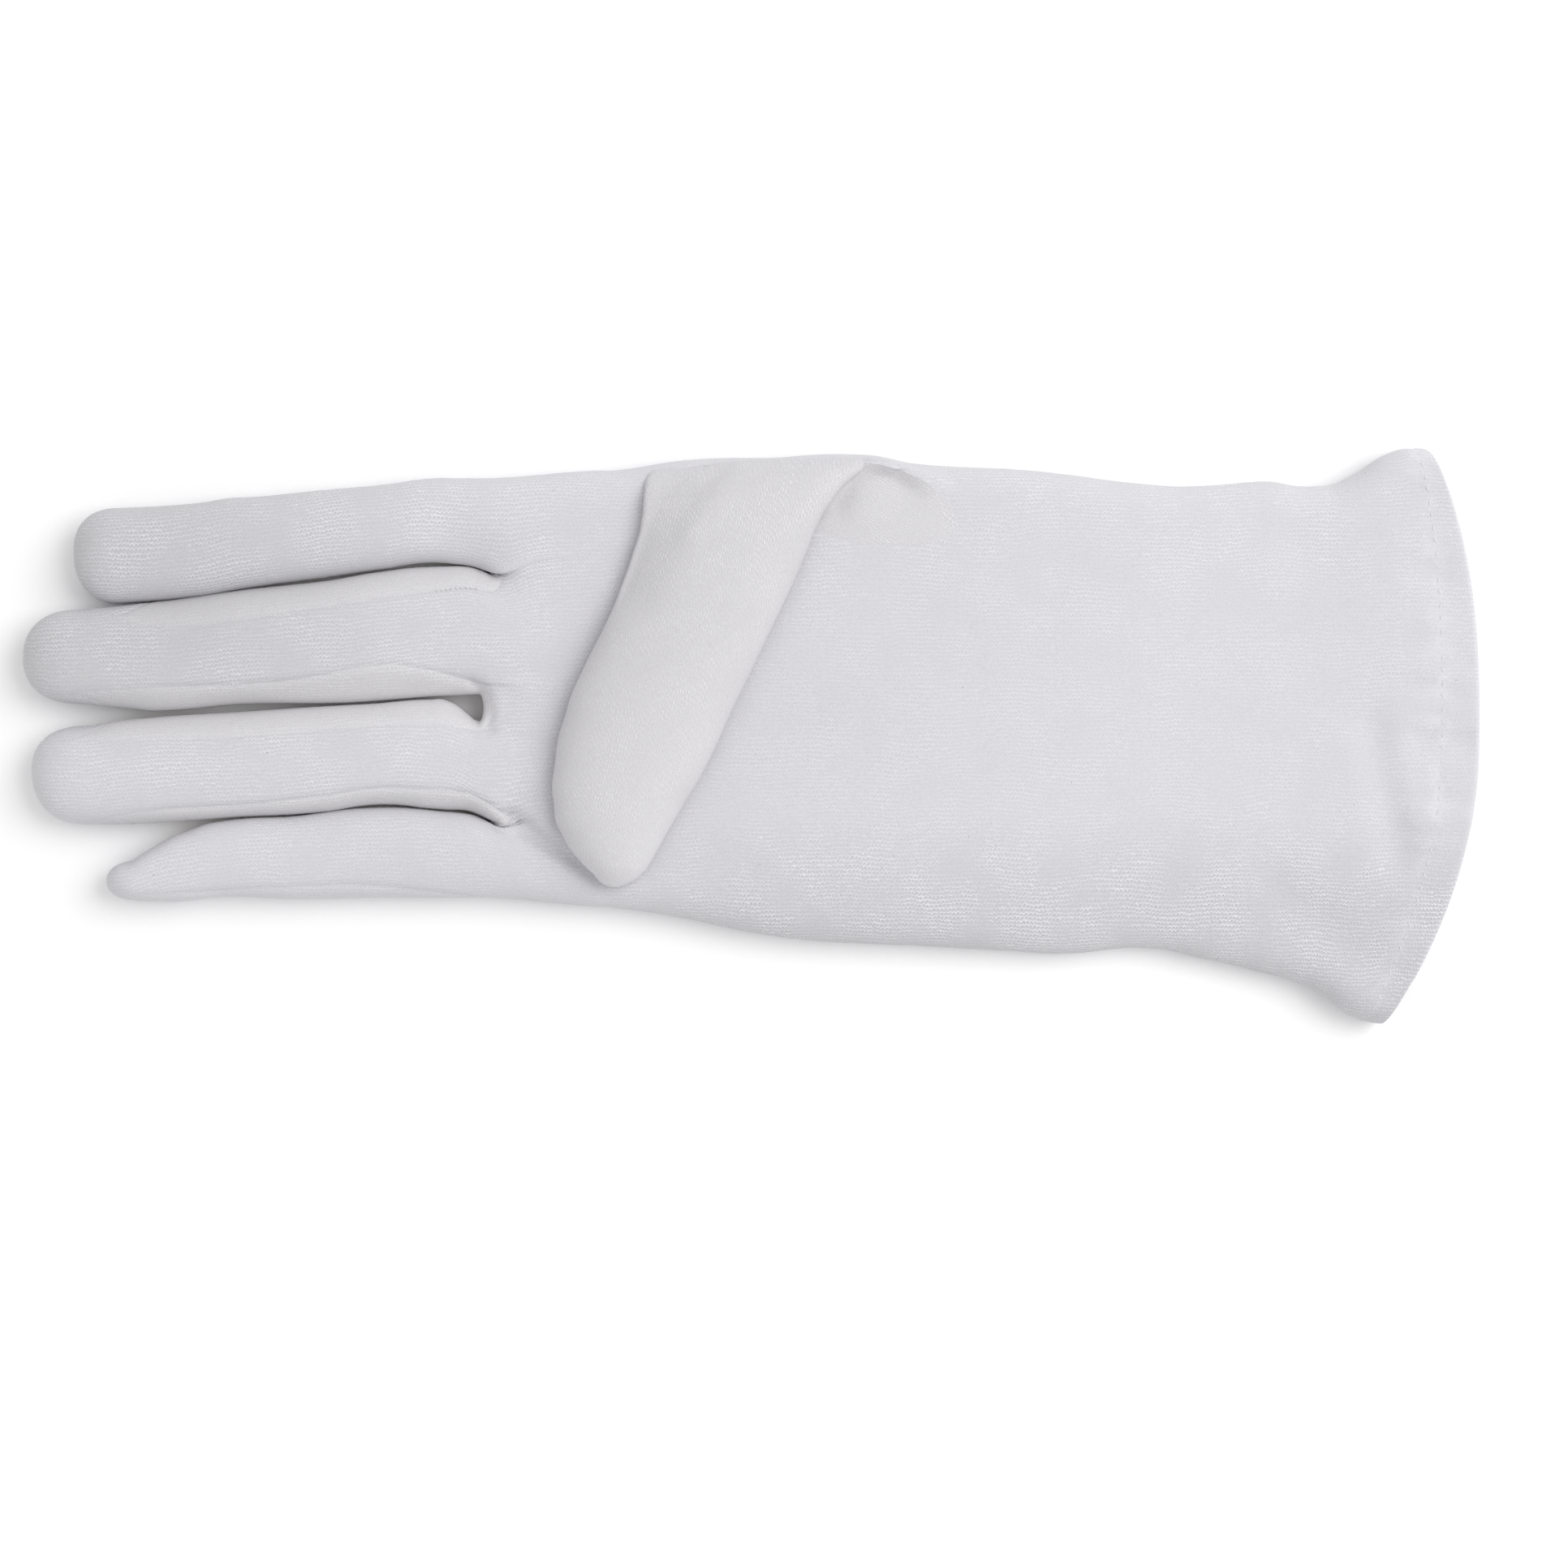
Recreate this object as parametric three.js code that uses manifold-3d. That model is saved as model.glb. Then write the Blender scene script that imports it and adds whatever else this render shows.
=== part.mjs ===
// Right-hand cotton glove lying flat on its back, palm up, with the thumb folded over the palm.
// Millimetres. X runs from the fingertips to the cuff, Y from the little finger to the index
// finger, Z up. The origin is on the surface that it lies on, under the middle of the glove.

import * as THREE from 'three';
import { LoftGeometry } from 'three/addons/geometries/LoftGeometry.js';
import { mergeVertices } from 'three/addons/utils/BufferGeometryUtils.js';
import Module from 'manifold-3d';

const wasm = await Module();
wasm.setup();

// Driving dimensions
const WALL = 1.0;              // one layer of knitted cotton
const HEM_WALL = 2.0;          // the cuff's edge is turned in and doubled
const GAP = 0.3;               // clearance between two pieces along a seam
const SEAM_HEIGHT = 3.8;       // palm and back meet here round the outer edge
const STRIP_FLOOR = 2.4;       // lower seam of the strips between the fingers
const STRIP_TOP = 7.2;         // upper seam of a strip where the palm panel hides it
const STRIP_DEPTH = 3.5;       // how far a hidden strip reaches under the palm panel
const THUMB_FLOOR = 10.9;      // underside of the thumb, just clear of the palm
const THUMB_ROOT = 3.4;        // underside of its root, which opens into the hand
const EDGE_SHARE = 0.46;       // height of the widest line of a lying tube, as a share of its top
const ABOVE = 40;              // higher than everything
const SIDE = 170;              // further out than everything

// Turns rows of plain numbers into objects with named columns
const table = (columns, rows) => rows.map((row) => (
  Object.fromEntries(columns.map((name, index) => [name, row[index]]))
));

// Hand and cuff. Each row is a station along the glove: x on its centre line, y of the index-side
// and little-side edges, height, and how far the edge of the station is drawn back towards the
// fingers at the index side and at the little side.
const HAND = table(['x', 'high', 'low', 'top', 'bowHigh', 'bowLow'], [
  [-52.5, 51.2, -32.6, 10.5, 0, 0],
  [-40, 52.6, -32.9, 10.5, 0, 0],
  [-26, 53.3, -34.6, 10.5, 0, 0],
  [-13, 55.2, -36.6, 10.5, 0, 0],
  [4, 55.7, -40.0, 10.5, 0, 0],
  [23, 56.3, -41.6, 10.5, 0, 0],
  [33, 54.5, -42.0, 10.4, 0, 0],
  [52, 53.4, -43.1, 10.0, 0, 0],
  [65, 52.1, -43.6, 9.6, 0, 0],
  [78, 50.5, -42.5, 9.3, 0, 0],
  [91, 50.0, -44.5, 9.2, 0.2, 1.0],
  [104, 50.9, -47.2, 9.4, 0.5, 2.5],
  [114, 50.0, -49.3, 9.8, 1.0, 5.0],
  [122, 52.2, -51.8, 10.4, 1.5, 8.0],
  [129, 56.0, -54.8, 11.0, 2.5, 11.0],
  [137.2, 57.5, -57.0, 11.6, 4.5, 14.8],
  [145.2, 56.9, -57.8, 12.4, 9.2, 18.4],
]);
const KNUCKLES = -52.5;        // the fingers part here
const HEM_LINE = 137.2;        // the stitch line of the hem
const MOUTH = 145.2;           // the open end of the cuff
const PAST_MOUTH = 12;
const MOUTH_HALF = 62;         // half the width over which the mouth's curve is drawn
const MOUTH_STEPS = 16;
const BOW_POWER_HIGH = 2.7;    // how suddenly the index side of a station draws back
const BOW_POWER_LOW = 2.0;
const HAND_STATIONS = 25;
const HAND_SHAPE = { shoulder: 7, heel: 4, arcSteps: 3, heelSteps: 2, topSteps: 11, floorSteps: 2 };

// Fingers. Each row is a station: x and the y of the two edges. tip is the foremost point and
// round the length over which the end closes.
const EDGES = ['x', 'high', 'low'];
const FINGERS = {
  index: {
    tip: [-135.6, 37.0], round: 9, top: 12.4,
    rows: table(EDGES, [
      [-126, 45.6, 27.0], [-111, 46.6, 28.7], [-98, 47.8, 30.7], [-85, 49.2, 32.5],
      [-72, 50.5, 34.3], [-60, 51.3, 35.5], [-45, 51.4, 35.5],
    ]),
  },
  middle: {
    tip: [-145.7, 15.4], round: 11, top: 12.8,
    rows: table(EDGES, [
      [-134, 25.2, 6.4], [-124, 26.3, 5.4], [-117, 26.8, 5.0], [-102, 28.7, 6.4],
      [-85, 30.9, 6.7], [-75, 32.3, 7.2], [-62, 33.4, 8.1], [-45, 33.4, 8.3],
    ]),
  },
  ring: {
    tip: [-144.0, -6.8], round: 11, top: 12.4,
    rows: table(EDGES, [
      [-132, 2.0, -17.6], [-124, 3.3, -17.6], [-102, 4.7, -16.2], [-85, 5.6, -15.1],
      [-75, 6.1, -13.9], [-62, 7.0, -14.6], [-45, 7.2, -15.2],
    ]),
  },
  little: {
    tip: [-129.1, -29.0], round: 6, top: 11.2,
    rows: table(EDGES, [
      [-122, -21.6, -33.1], [-113, -18.4, -33.2], [-105, -17.2, -32.3], [-92, -16.5, -32.8],
      [-75, -15.0, -32.5], [-60, -15.7, -32.5], [-45, -16.0, -32.0],
    ]),
  },
};
const TIP_POWER = 2.3;         // roundness of a fingertip seen from above
const TIP_DROP = 0.45;         // part of its height that a fingertip keeps at its very end
const TIP_START = 0.2;         // the first station of a tip, as a share of its quarter turn
const ROOT_BLEND = 14;         // length over which a finger sinks to the height of the hand
const FINGER_STATIONS = 7;
const TIP_STATIONS = 4;
const FINGER_SHAPE = { shoulder: 8, heel: 3.5, arcSteps: 4, heelSteps: 2, topSteps: 1, floorSteps: 1 };

// Thumb. Each row is a station across it: y, the x of its two sides, its underside and its top.
// Its first rows are the fold over the edge of the hand, where it opens into the hand.
const THUMB = table(['y', 'left', 'right', 'floor', 'top'], [
  [54.9, -17.5, 20.5, THUMB_ROOT, 9.0],
  [53.4, -20.0, 22.0, THUMB_ROOT, 12.6],
  [51.0, -20.6, 20.2, THUMB_ROOT, 15.2],
  [47.0, -21.0, 16.6, THUMB_ROOT, 17.6],
  [43.6, -21.4, 14.2, THUMB_ROOT, 18.8],
  [42.4, -21.6, 13.6, THUMB_FLOOR, 19.2],
  [37.0, -23.1, 11.4, THUMB_FLOOR, 20.3],
  [30.0, -25.5, 8.4, THUMB_FLOOR, 20.8],
  [22.0, -28.8, 4.6, THUMB_FLOOR, 21.0],
  [13.0, -33.3, 0.3, THUMB_FLOOR, 21.0],
  [4.0, -36.8, -4.1, THUMB_FLOOR, 20.9],
  [-6.0, -38.9, -8.9, THUMB_FLOOR, 20.6],
  [-14.0, -39.1, -13.4, THUMB_FLOOR, 20.0],
  [-20.0, -36.9, -17.2, THUMB_FLOOR, 19.0],
  [-25.5, -33.0, -20.2, THUMB_FLOOR, 17.6],
  [-29.6, -29.8, -23.4, THUMB_FLOOR, 15.0],
]);
const THUMB_SHAPE = { shoulder: 10, heel: 3, arcSteps: 4, heelSteps: 2, topSteps: 3, floorSteps: 1 };
const FOLD_WALL = 2.2;         // thickness of the cloth where it folds over the hand's edge

// Hole in the palm that the thumb is sewn into, an outline seen from above. It ends in a point
// on the cuff side, where the thumb's gusset tapers out along the edge of the hand.
const THUMB_HOLE = table(['x', 'y'], [
  [-20.5, 70], [-20.5, 50], [-18.5, 46.5], [-13, 44], [-3, 43], [10, 42.4], [13.5, 39.5],
  [18, 37.8], [25, 37.4], [33, 37.8], [38.5, 39.2], [41.5, 42], [43, 47], [43.5, 70],
]);

// Strips between the fingers. A seam that shows from above is a line of points from the tips to
// the crotch. Without a line it runs on the very edge of the finger, and the strip is hidden
// under the palm panel. from and crotch are the x where the strip starts and ends.
const SEAM = ['x', 'y'];
const STRIPS = {
  fourchette_index_middle: {
    upper: 'index', lower: 'middle', from: -126, crotch: -51.0,
    lowerSeam: table(SEAM, [
      [-126, 23.6], [-117, 21.8], [-101, 23.2], [-87, 25.3], [-69, 28.2], [-51, 30.2],
    ]),
  },
  fourchette_middle_ring: {
    upper: 'middle', lower: 'ring', from: -135, crotch: -51.6,
    upperSeam: table(SEAM, [
      [-135, 7.9], [-123, 9.2], [-98, 10.3], [-85, 11.9], [-74, 13.6], [-62, 12.4], [-51, 9.6],
    ]),
    lowerSeam: table(SEAM, [
      [-135, -0.8], [-120, -0.8], [-95, 0.2], [-80, 1.6], [-62, 2.5], [-51, 3.0],
    ]),
  },
  fourchette_ring_little: {
    upper: 'ring', lower: 'little', from: -122, crotch: -50.4,
    upperSeam: table(SEAM, [
      [-122, -15.6], [-101, -13.9], [-85, -12.2], [-72, -10.7], [-59, -11.4], [-50, -13.6],
    ]),
  },
};
const STRIP_STEP = 6;          // length between two points of a strip's outline

// Folds and dents of the upper surface, each along a line from 1 to 2. A minus depth is a ridge.
const FOLDS = table(['x1', 'y1', 'x2', 'y2', 'width', 'depth'], [
  [-56, 34.5, -46, 35.0, 4.0, 2.4],      // crotch between index and middle finger
  [-58, 6.5, -47, 3.0, 4.0, 2.6],        // crotch between middle and ring finger
  [-56, -15.5, -30, -28.0, 4.5, 1.8],    // crease from the ring and little crotch
  [23, 47.5, 34, 51.5, 4.0, 1.6],        // hollow beside the thumb's fold
  [126, 4.0, 131, -24.0, 5.0, 1.3],      // slack band before the hem
  [137, -2.0, 146, -2.0, 5.0, 1.3],      // dimple in the hem
  [132, -16.5, 142, -16.5, 4.0, -0.9],   // pucker beside it
  [104, -30.0, 128, -49.0, 6.0, 0.9],    // flare at the cuff's lower corner
]);
const THUMB_FOLDS = table(['x1', 'y1', 'x2', 'y2', 'width', 'depth'], [
  [-3.2, 54.0, -12.5, 41.5, 3.2, 1.2],   // crease beside the thumb's fold
]);

const COTTON = { white: 0xe1e0e5, thumb: 0xebeaec, strip: 0xd8d7db };
const cotton = (colour) => new THREE.MeshStandardMaterial({ color: colour, roughness: 0.95, metalness: 0 });

// Value of a column between two rows, along a smooth curve through the rows
function between(rows, along, column, at) {
  const last = rows.length - 2;
  let i = 0;
  const rising = rows[1][along] > rows[0][along];
  while (i < last && (rising ? at > rows[i + 1][along] : at < rows[i + 1][along])) i += 1;
  const slope = (k) => {
    const before = rows[Math.max(k - 1, 0)];
    const after = rows[Math.min(k + 1, rows.length - 1)];
    return (after[column] - before[column]) / (after[along] - before[along]);
  };
  const span = rows[i + 1][along] - rows[i][along];
  const t = THREE.MathUtils.clamp((at - rows[i][along]) / span, 0, 1);
  const ease = t * t * (3 - 2 * t);
  const start = rows[i][column] + slope(i) * span * t;
  const end = rows[i + 1][column] - slope(i + 1) * span * (1 - t);
  return THREE.MathUtils.lerp(start, end, ease);
}

// How far the folds press a point of the upper surface down
function pressed(folds, x, y) {
  return folds.reduce((sum, fold) => {
    const line = new THREE.Line3(
      new THREE.Vector3(fold.x1, fold.y1, 0),
      new THREE.Vector3(fold.x2, fold.y2, 0),
    );
    const point = new THREE.Vector3(x, y, 0);
    const near = line.closestPointToPoint(point, true, new THREE.Vector3());
    return sum + fold.depth * Math.exp(-((near.distanceTo(point) / fold.width) ** 2));
  }, 0);
}

// Closed outline of a lying tube of cloth seen from its end: a flat floor, round edges and a
// nearly flat top. It starts at the edge a, goes over the top to the edge b and back underneath.
function outline({ a, b, floor, top }, shape, inset) {
  const sign = Math.sign(a - b);
  const middle = (a + b) / 2;
  const half = Math.abs(a - b) / 2 - inset;
  const edge = THREE.MathUtils.lerp(floor, top, EDGE_SHARE);
  const shoulder = Math.min(shape.shoulder - inset, half * 0.98);
  const heel = Math.min(shape.heel - inset, half * 0.9);
  const rise = top - inset - edge;
  const fall = edge - floor - inset;
  const points = [];
  const add = (across, z) => points.push([middle + sign * across, z]);
  const corner = (side, radius, height, quarter, steps, first, last) => {
    for (let i = first; i <= last; i += 1) {
      const turn = (quarter + i / steps) * (Math.PI / 2);
      add(side * (half - radius) + radius * Math.cos(turn), edge + height * Math.sin(turn));
    }
  };
  const flat = (steps, end, z) => {
    for (let i = 1; i < steps; i += 1) add(THREE.MathUtils.lerp(-end, end, i / steps), z);
  };
  const { arcSteps, heelSteps, topSteps, floorSteps } = shape;
  corner(1, shoulder, rise, 0, arcSteps, 0, arcSteps);
  flat(topSteps, shoulder - half, edge + rise);
  corner(-1, shoulder, rise, 1, arcSteps, 0, arcSteps);
  corner(-1, heel, fall, 2, heelSteps, 1, heelSteps);
  flat(floorSteps, half - heel, edge - fall);
  corner(1, heel, fall, 3, heelSteps, 0, heelSteps - 1);
  return points;
}

// Closed solid from a geometry whose faces all point out
function solid(geometry) {
  const plain = new THREE.BufferGeometry();
  plain.setAttribute('position', geometry.getAttribute('position'));
  plain.setIndex(geometry.getIndex() ?? [...Array(geometry.getAttribute('position').count).keys()]);
  const merged = mergeVertices(plain, 1e-4);
  return new wasm.Manifold(new wasm.Mesh({
    numProp: 3,
    vertProperties: new Float32Array(merged.getAttribute('position').array),
    triVerts: new Uint32Array(merged.getIndex().array),
  }));
}

const loft = (sections) => solid(new LoftGeometry(sections, { capStart: true, capEnd: true }));

// Solid that stands on an outline drawn from above
function prism(points, low, high) {
  const drawing = new THREE.Shape(points.map(({ x, y }) => new THREE.Vector2(x, y)));
  const geometry = new THREE.ExtrudeGeometry(drawing, { depth: high - low, bevelEnabled: false });
  geometry.translate(0, 0, low);
  return solid(geometry);
}

// Outline drawn from above, moved out by a distance on all sides
function grown(points, by) {
  const normal = (from, to) => new THREE.Vector2(to.y - from.y, from.x - to.x).normalize();
  const around = THREE.ShapeUtils.isClockWise(points) ? -by : by;
  return points.map((point, i) => {
    const before = normal(points.at(i - 1), point);
    const after = normal(point, points[(i + 1) % points.length]);
    const out = before.clone().add(after).normalize();
    const reach = around / Math.max(out.dot(after), 0.5);
    return { x: point.x + out.x * reach, y: point.y + out.y * reach };
  });
}

// Moves the upper half of a section down where a fold presses it, and not the lower half
function folded(folds, x, y, z, edge, top) {
  const share = THREE.MathUtils.clamp((z - edge) / (top - edge), 0, 1);
  return new THREE.Vector3(x, y, z - share * pressed(folds, x, y));
}

// How far a station of the hand is drawn back towards the fingers at a given y
function drawnBack(station, y) {
  const [high, low, bowHigh, bowLow] = ['high', 'low', 'bowHigh', 'bowLow'].map(
    (column) => between(HAND, 'x', column, station),
  );
  const share = (2 * y - high - low) / (high - low);
  return share > 0 ? bowHigh * share ** BOW_POWER_HIGH : bowLow * (-share) ** BOW_POWER_LOW;
}

// Hand and cuff, running on past the mouth of the cuff, where they are cut off later
function hand(inset) {
  const sections = [];
  for (let i = 0; i <= HAND_STATIONS; i += 1) {
    const x = THREE.MathUtils.lerp(KNUCKLES + inset, MOUTH + PAST_MOUTH, i / HAND_STATIONS);
    const [high, low, top] = ['high', 'low', 'top'].map((column) => between(HAND, 'x', column, x));
    const points = outline({ a: high, b: low, floor: 0, top }, HAND_SHAPE, inset);
    sections.push(points.map(([y, z]) => (
      folded(FOLDS, x - drawnBack(x, y), y, z, top * EDGE_SHARE, top)
    )));
  }
  return loft(sections);
}

// Everything on the fingers' side of a station
function upTo(station) {
  const edge = [];
  for (let i = 0; i <= MOUTH_STEPS; i += 1) {
    const y = THREE.MathUtils.lerp(-MOUTH_HALF, MOUTH_HALF, i / MOUTH_STEPS);
    edge.push({ x: station - drawnBack(station, y), y });
  }
  return prism([{ x: -SIDE, y: -MOUTH_HALF }, ...edge, { x: -SIDE, y: MOUTH_HALF }], -ABOVE, ABOVE);
}

// One finger from its tip to its root inside the hand
function finger({ tip, round, top, rows }, inset) {
  const [tipX, tipY] = tip;
  const stations = [];
  for (let i = 0; i < TIP_STATIONS; i += 1) {
    const turn = THREE.MathUtils.lerp(TIP_START, 1, i / TIP_STATIONS) * (Math.PI / 2);
    stations.push(tipX + inset + (round - inset) * (1 - Math.cos(turn)));
  }
  for (let i = 0; i <= FINGER_STATIONS; i += 1) {
    stations.push(THREE.MathUtils.lerp(tipX + round, rows.at(-1).x, i / FINGER_STATIONS));
  }
  const sections = stations.map((x) => {
    const ahead = THREE.MathUtils.clamp(1 - (x - tipX) / round, 0, 1);
    const full = (1 - ahead ** TIP_POWER) ** (1 / TIP_POWER);
    const edge = (column) => THREE.MathUtils.lerp(tipY, between(rows, 'x', column, x), full);
    const root = THREE.MathUtils.smoothstep(x, KNUCKLES - ROOT_BLEND, KNUCKLES);
    const height = THREE.MathUtils.lerp(top, HAND[0].top, root) * THREE.MathUtils.lerp(TIP_DROP, 1, full);
    const points = outline({ a: edge('high'), b: edge('low'), floor: 0, top: height }, FINGER_SHAPE, inset);
    return points.map(([y, z]) => folded(FOLDS, x, y, z, height * EDGE_SHARE, height));
  });
  return loft(sections);
}

// The folded thumb from its tip to the fold at the edge of the hand
function thumbTube(inset, foldInset) {
  const first = THUMB.at(-1).y + inset;
  const last = THUMB[0].y - foldInset;
  const inside = THUMB.map((row) => row.y).filter((y) => y > first && y < last).toReversed();
  const sections = [];
  for (const y of [first, ...inside, last]) {
    const [left, right, floor, top] = ['left', 'right', 'floor', 'top'].map(
      (column) => between(THUMB, 'y', column, y),
    );
    const points = outline({ a: left, b: right, floor, top }, THUMB_SHAPE, inset);
    const edge = THREE.MathUtils.lerp(floor, top, EDGE_SHARE);
    sections.push(points.map(([x, z]) => folded(THUMB_FOLDS, x, y, z, edge, top)));
  }
  return loft(sections);
}

// Space that a strip between two fingers takes, out of which the panels are cut. Where its seam
// shows from above it reaches up through the finger, and elsewhere only part of the way.
function stripSpace({ upper, lower, from, crotch, upperSeam, lowerSeam }, extra) {
  const stations = [];
  const steps = Math.round((crotch - from) / STRIP_STEP);
  for (let i = 0; i <= steps; i += 1) stations.push(THREE.MathUtils.lerp(from, crotch, i / steps));
  const low = STRIP_FLOOR - extra;
  const hiddenTop = STRIP_TOP + extra;
  const side = (rows, name, column, depth) => (x) => (
    rows ? between(rows, 'x', 'y', x) : between(FINGERS[name].rows, 'x', column, x) + depth
  );
  const upperLine = side(upperSeam, upper, 'low', STRIP_DEPTH);
  const lowerLine = side(lowerSeam, lower, 'high', -STRIP_DEPTH);
  const gapLine = (x) => (
    (between(FINGERS[upper].rows, 'x', 'low', x) + between(FINGERS[lower].rows, 'x', 'high', x)) / 2
  );
  const area = (highLine, lowLine) => grown([
    ...stations.map((x) => ({ x, y: lowLine(x) })),
    ...stations.toReversed().map((x) => ({ x, y: highLine(x) })),
  ], extra);
  const whole = prism(area(upperLine, lowerLine), low, hiddenTop);
  const shown = area(upperSeam ? upperLine : gapLine, lowerSeam ? lowerLine : gapLine);
  return whole.add(prism(shown, low, ABOVE));
}

const joined = (solids) => solids.reduce((sum, next) => sum.add(next));
const field = [[-SIDE, -SIDE], [SIDE, -SIDE], [SIDE, SIDE], [-SIDE, SIDE]].map(([x, y]) => ({ x, y }));
const palmSide = prism(field, SEAM_HEIGHT + GAP / 2, ABOVE);
const backSide = prism(field, -ABOVE, SEAM_HEIGHT - GAP / 2);

// The whole glove without the thumb, solid, and the hollow inside it
const fingers = Object.values(FINGERS);
const body = joined([hand(0), ...fingers.map((row) => finger(row, 0))]);
const hollow = joined([hand(WALL), ...fingers.map((row) => finger(row, WALL))]);
const shell = body.intersect(upTo(HEM_LINE)).subtract(hollow);
const stripSpaces = joined(Object.values(STRIPS).map((strip) => stripSpace(strip, GAP)));

const palmPanel = () => shell
  .intersect(palmSide)
  .subtract(stripSpaces)
  .subtract(prism(grown(THUMB_HOLE, GAP), 0, ABOVE));

const backPanel = () => shell.intersect(backSide).subtract(stripSpaces);

const fourchette = (strip) => shell.intersect(stripSpace(strip, 0));

// The thumb is the tube that lies on the palm and, round its root, the stretch of the hand's
// edge that its gusset makes. Both open into the hand through the hole.
function thumb() {
  const inHole = prism(THUMB_HOLE, SEAM_HEIGHT + GAP / 2, ABOVE);
  const besideHole = hand(-GAP).subtract(inHole);
  return hand(0)
    .intersect(inHole)
    .add(thumbTube(0, 0).intersect(palmSide))
    .subtract(thumbTube(WALL, FOLD_WALL))
    .subtract(hollow)
    .subtract(besideHole);
}

const cuffHem = () => hand(0)
  .subtract(hand(HEM_WALL))
  .intersect(upTo(MOUTH))
  .subtract(upTo(HEM_LINE + GAP));

function piece(name, body3d, material) {
  const { vertProperties, triVerts } = body3d.getMesh();
  const geometry = new THREE.BufferGeometry();
  geometry.setAttribute('position', new THREE.BufferAttribute(new Float32Array(vertProperties), 3));
  geometry.setIndex(new THREE.BufferAttribute(new Uint32Array(triVerts), 1));
  geometry.computeVertexNormals();
  const mesh = new THREE.Mesh(geometry, material);
  mesh.name = name;
  return mesh;
}

const group = new THREE.Group();
group.add(piece('palm_panel', palmPanel(), cotton(COTTON.white)));
group.add(piece('back_panel', backPanel(), cotton(COTTON.white)));
for (const [name, strip] of Object.entries(STRIPS)) {
  group.add(piece(name, fourchette(strip), cotton(COTTON.strip)));
}
group.add(piece('thumb', thumb(), cotton(COTTON.thumb)));
group.add(piece('cuff_hem', cuffHem(), cotton(COTTON.white)));

export default group;
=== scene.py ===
# %% [markdown]
# # A knitted cotton dress glove, laid flat
#
# A dress glove is cut from fine cotton jersey and sewn. The palm panel and the back panel are the
# same shape, each with the four fingers on it. Three narrow strips, called fourchettes, join them
# between the fingers. The thumb is a piece of its own, sewn into a hole in the palm, and the
# cuff's edge is turned in and stitched. Here a right-hand glove lies on its back with its palm up
# and its thumb folded over the palm.
#
# The frame gives the place of every piece. It is loaded first. All shapes below are worked out in
# millimetres and brought to metres when a piece is finished.

# %% Open the frame
import bisect
import math

import bmesh
import bpy
from mathutils import Matrix, Vector, kdtree, noise


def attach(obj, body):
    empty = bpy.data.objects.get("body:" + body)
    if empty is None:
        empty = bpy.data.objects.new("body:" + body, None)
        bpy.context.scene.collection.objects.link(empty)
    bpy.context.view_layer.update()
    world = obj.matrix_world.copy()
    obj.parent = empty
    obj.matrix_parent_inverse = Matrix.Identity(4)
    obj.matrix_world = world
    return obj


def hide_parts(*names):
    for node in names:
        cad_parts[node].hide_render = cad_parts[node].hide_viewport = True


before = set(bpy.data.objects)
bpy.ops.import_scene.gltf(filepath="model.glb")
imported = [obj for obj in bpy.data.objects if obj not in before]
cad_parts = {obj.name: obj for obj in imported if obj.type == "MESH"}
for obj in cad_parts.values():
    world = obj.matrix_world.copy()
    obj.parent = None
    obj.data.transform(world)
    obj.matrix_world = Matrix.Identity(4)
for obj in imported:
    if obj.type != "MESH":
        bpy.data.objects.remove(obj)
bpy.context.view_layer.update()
MM = 0.001
print("nodes in the frame:", ", ".join(sorted(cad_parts)))

# %% [markdown]
# ## Smooth lines
#
# Cloth has no straight edges once it is worn and laid down, so each outline is a smooth line
# through a few measured points. A curve object could do this too, but a small function is quicker
# to ask for the height of the line at any place.

# %% Blends and smooth lines
def lerp(start, end, share):
    return start + (end - start) * share


def clamp(value, low=0.0, high=1.0):
    return max(low, min(high, value))


def ease(share):
    share = clamp(share)
    return share * share * (3 - 2 * share)


def through(points, place):
    """Height, at a place, of the smooth line through (place, height) points."""
    if place <= points[0][0]:
        return points[0][1]
    if place >= points[-1][0]:
        return points[-1][1]
    i = next(k for k in range(len(points) - 1) if place <= points[k + 1][0])
    before, start, end = points[max(i - 1, 0)], points[i], points[i + 1]
    after = points[min(i + 2, len(points) - 1)]
    span = end[0] - start[0]
    rise_in = (end[1] - before[1]) / (end[0] - before[0]) * span
    rise_out = (after[1] - start[1]) / (after[0] - start[0]) * span
    t = (place - start[0]) / span
    line_in = start[1] + rise_in * t
    line_out = end[1] - rise_out * (1 - t)
    return lerp(line_in, line_out, ease(t))


def column(rows, which):
    """The smooth line that one column of a table draws along its first column."""
    return [(row[0], row[which]) for row in rows]


def even(start, end, spacing):
    """Stations from start to end, about a spacing apart."""
    count = round((end - start) / spacing)
    return [lerp(start, end, k / count) for k in range(count + 1)]


def from_tip(tip, cap, cap_rows, end, spacing):
    """Stations from a round tip on: ever wider apart over its cap, and evenly apart after it."""
    turns = [math.pi / 2 * k / cap_rows for k in range(cap_rows)]
    return [tip + cap * (1 - math.cos(turn)) for turn in turns] + even(tip + cap, end, spacing)


def half_turn(steps):
    """Angles that part a half turn into even steps, without its two ends."""
    return [math.pi * k / steps for k in range(1, steps)]


print("half way up a step:", through([(0, 0), (1, 1)], 0.5))

# %% [markdown]
# ## The hand and the cuff
#
# The hand is a flattened tube. Each row of the table is a station along it: the place on its
# centre line, the two edges, the height, and how far the cloth at the two edges is drawn back,
# which bends the mouth of the cuff.

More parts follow.
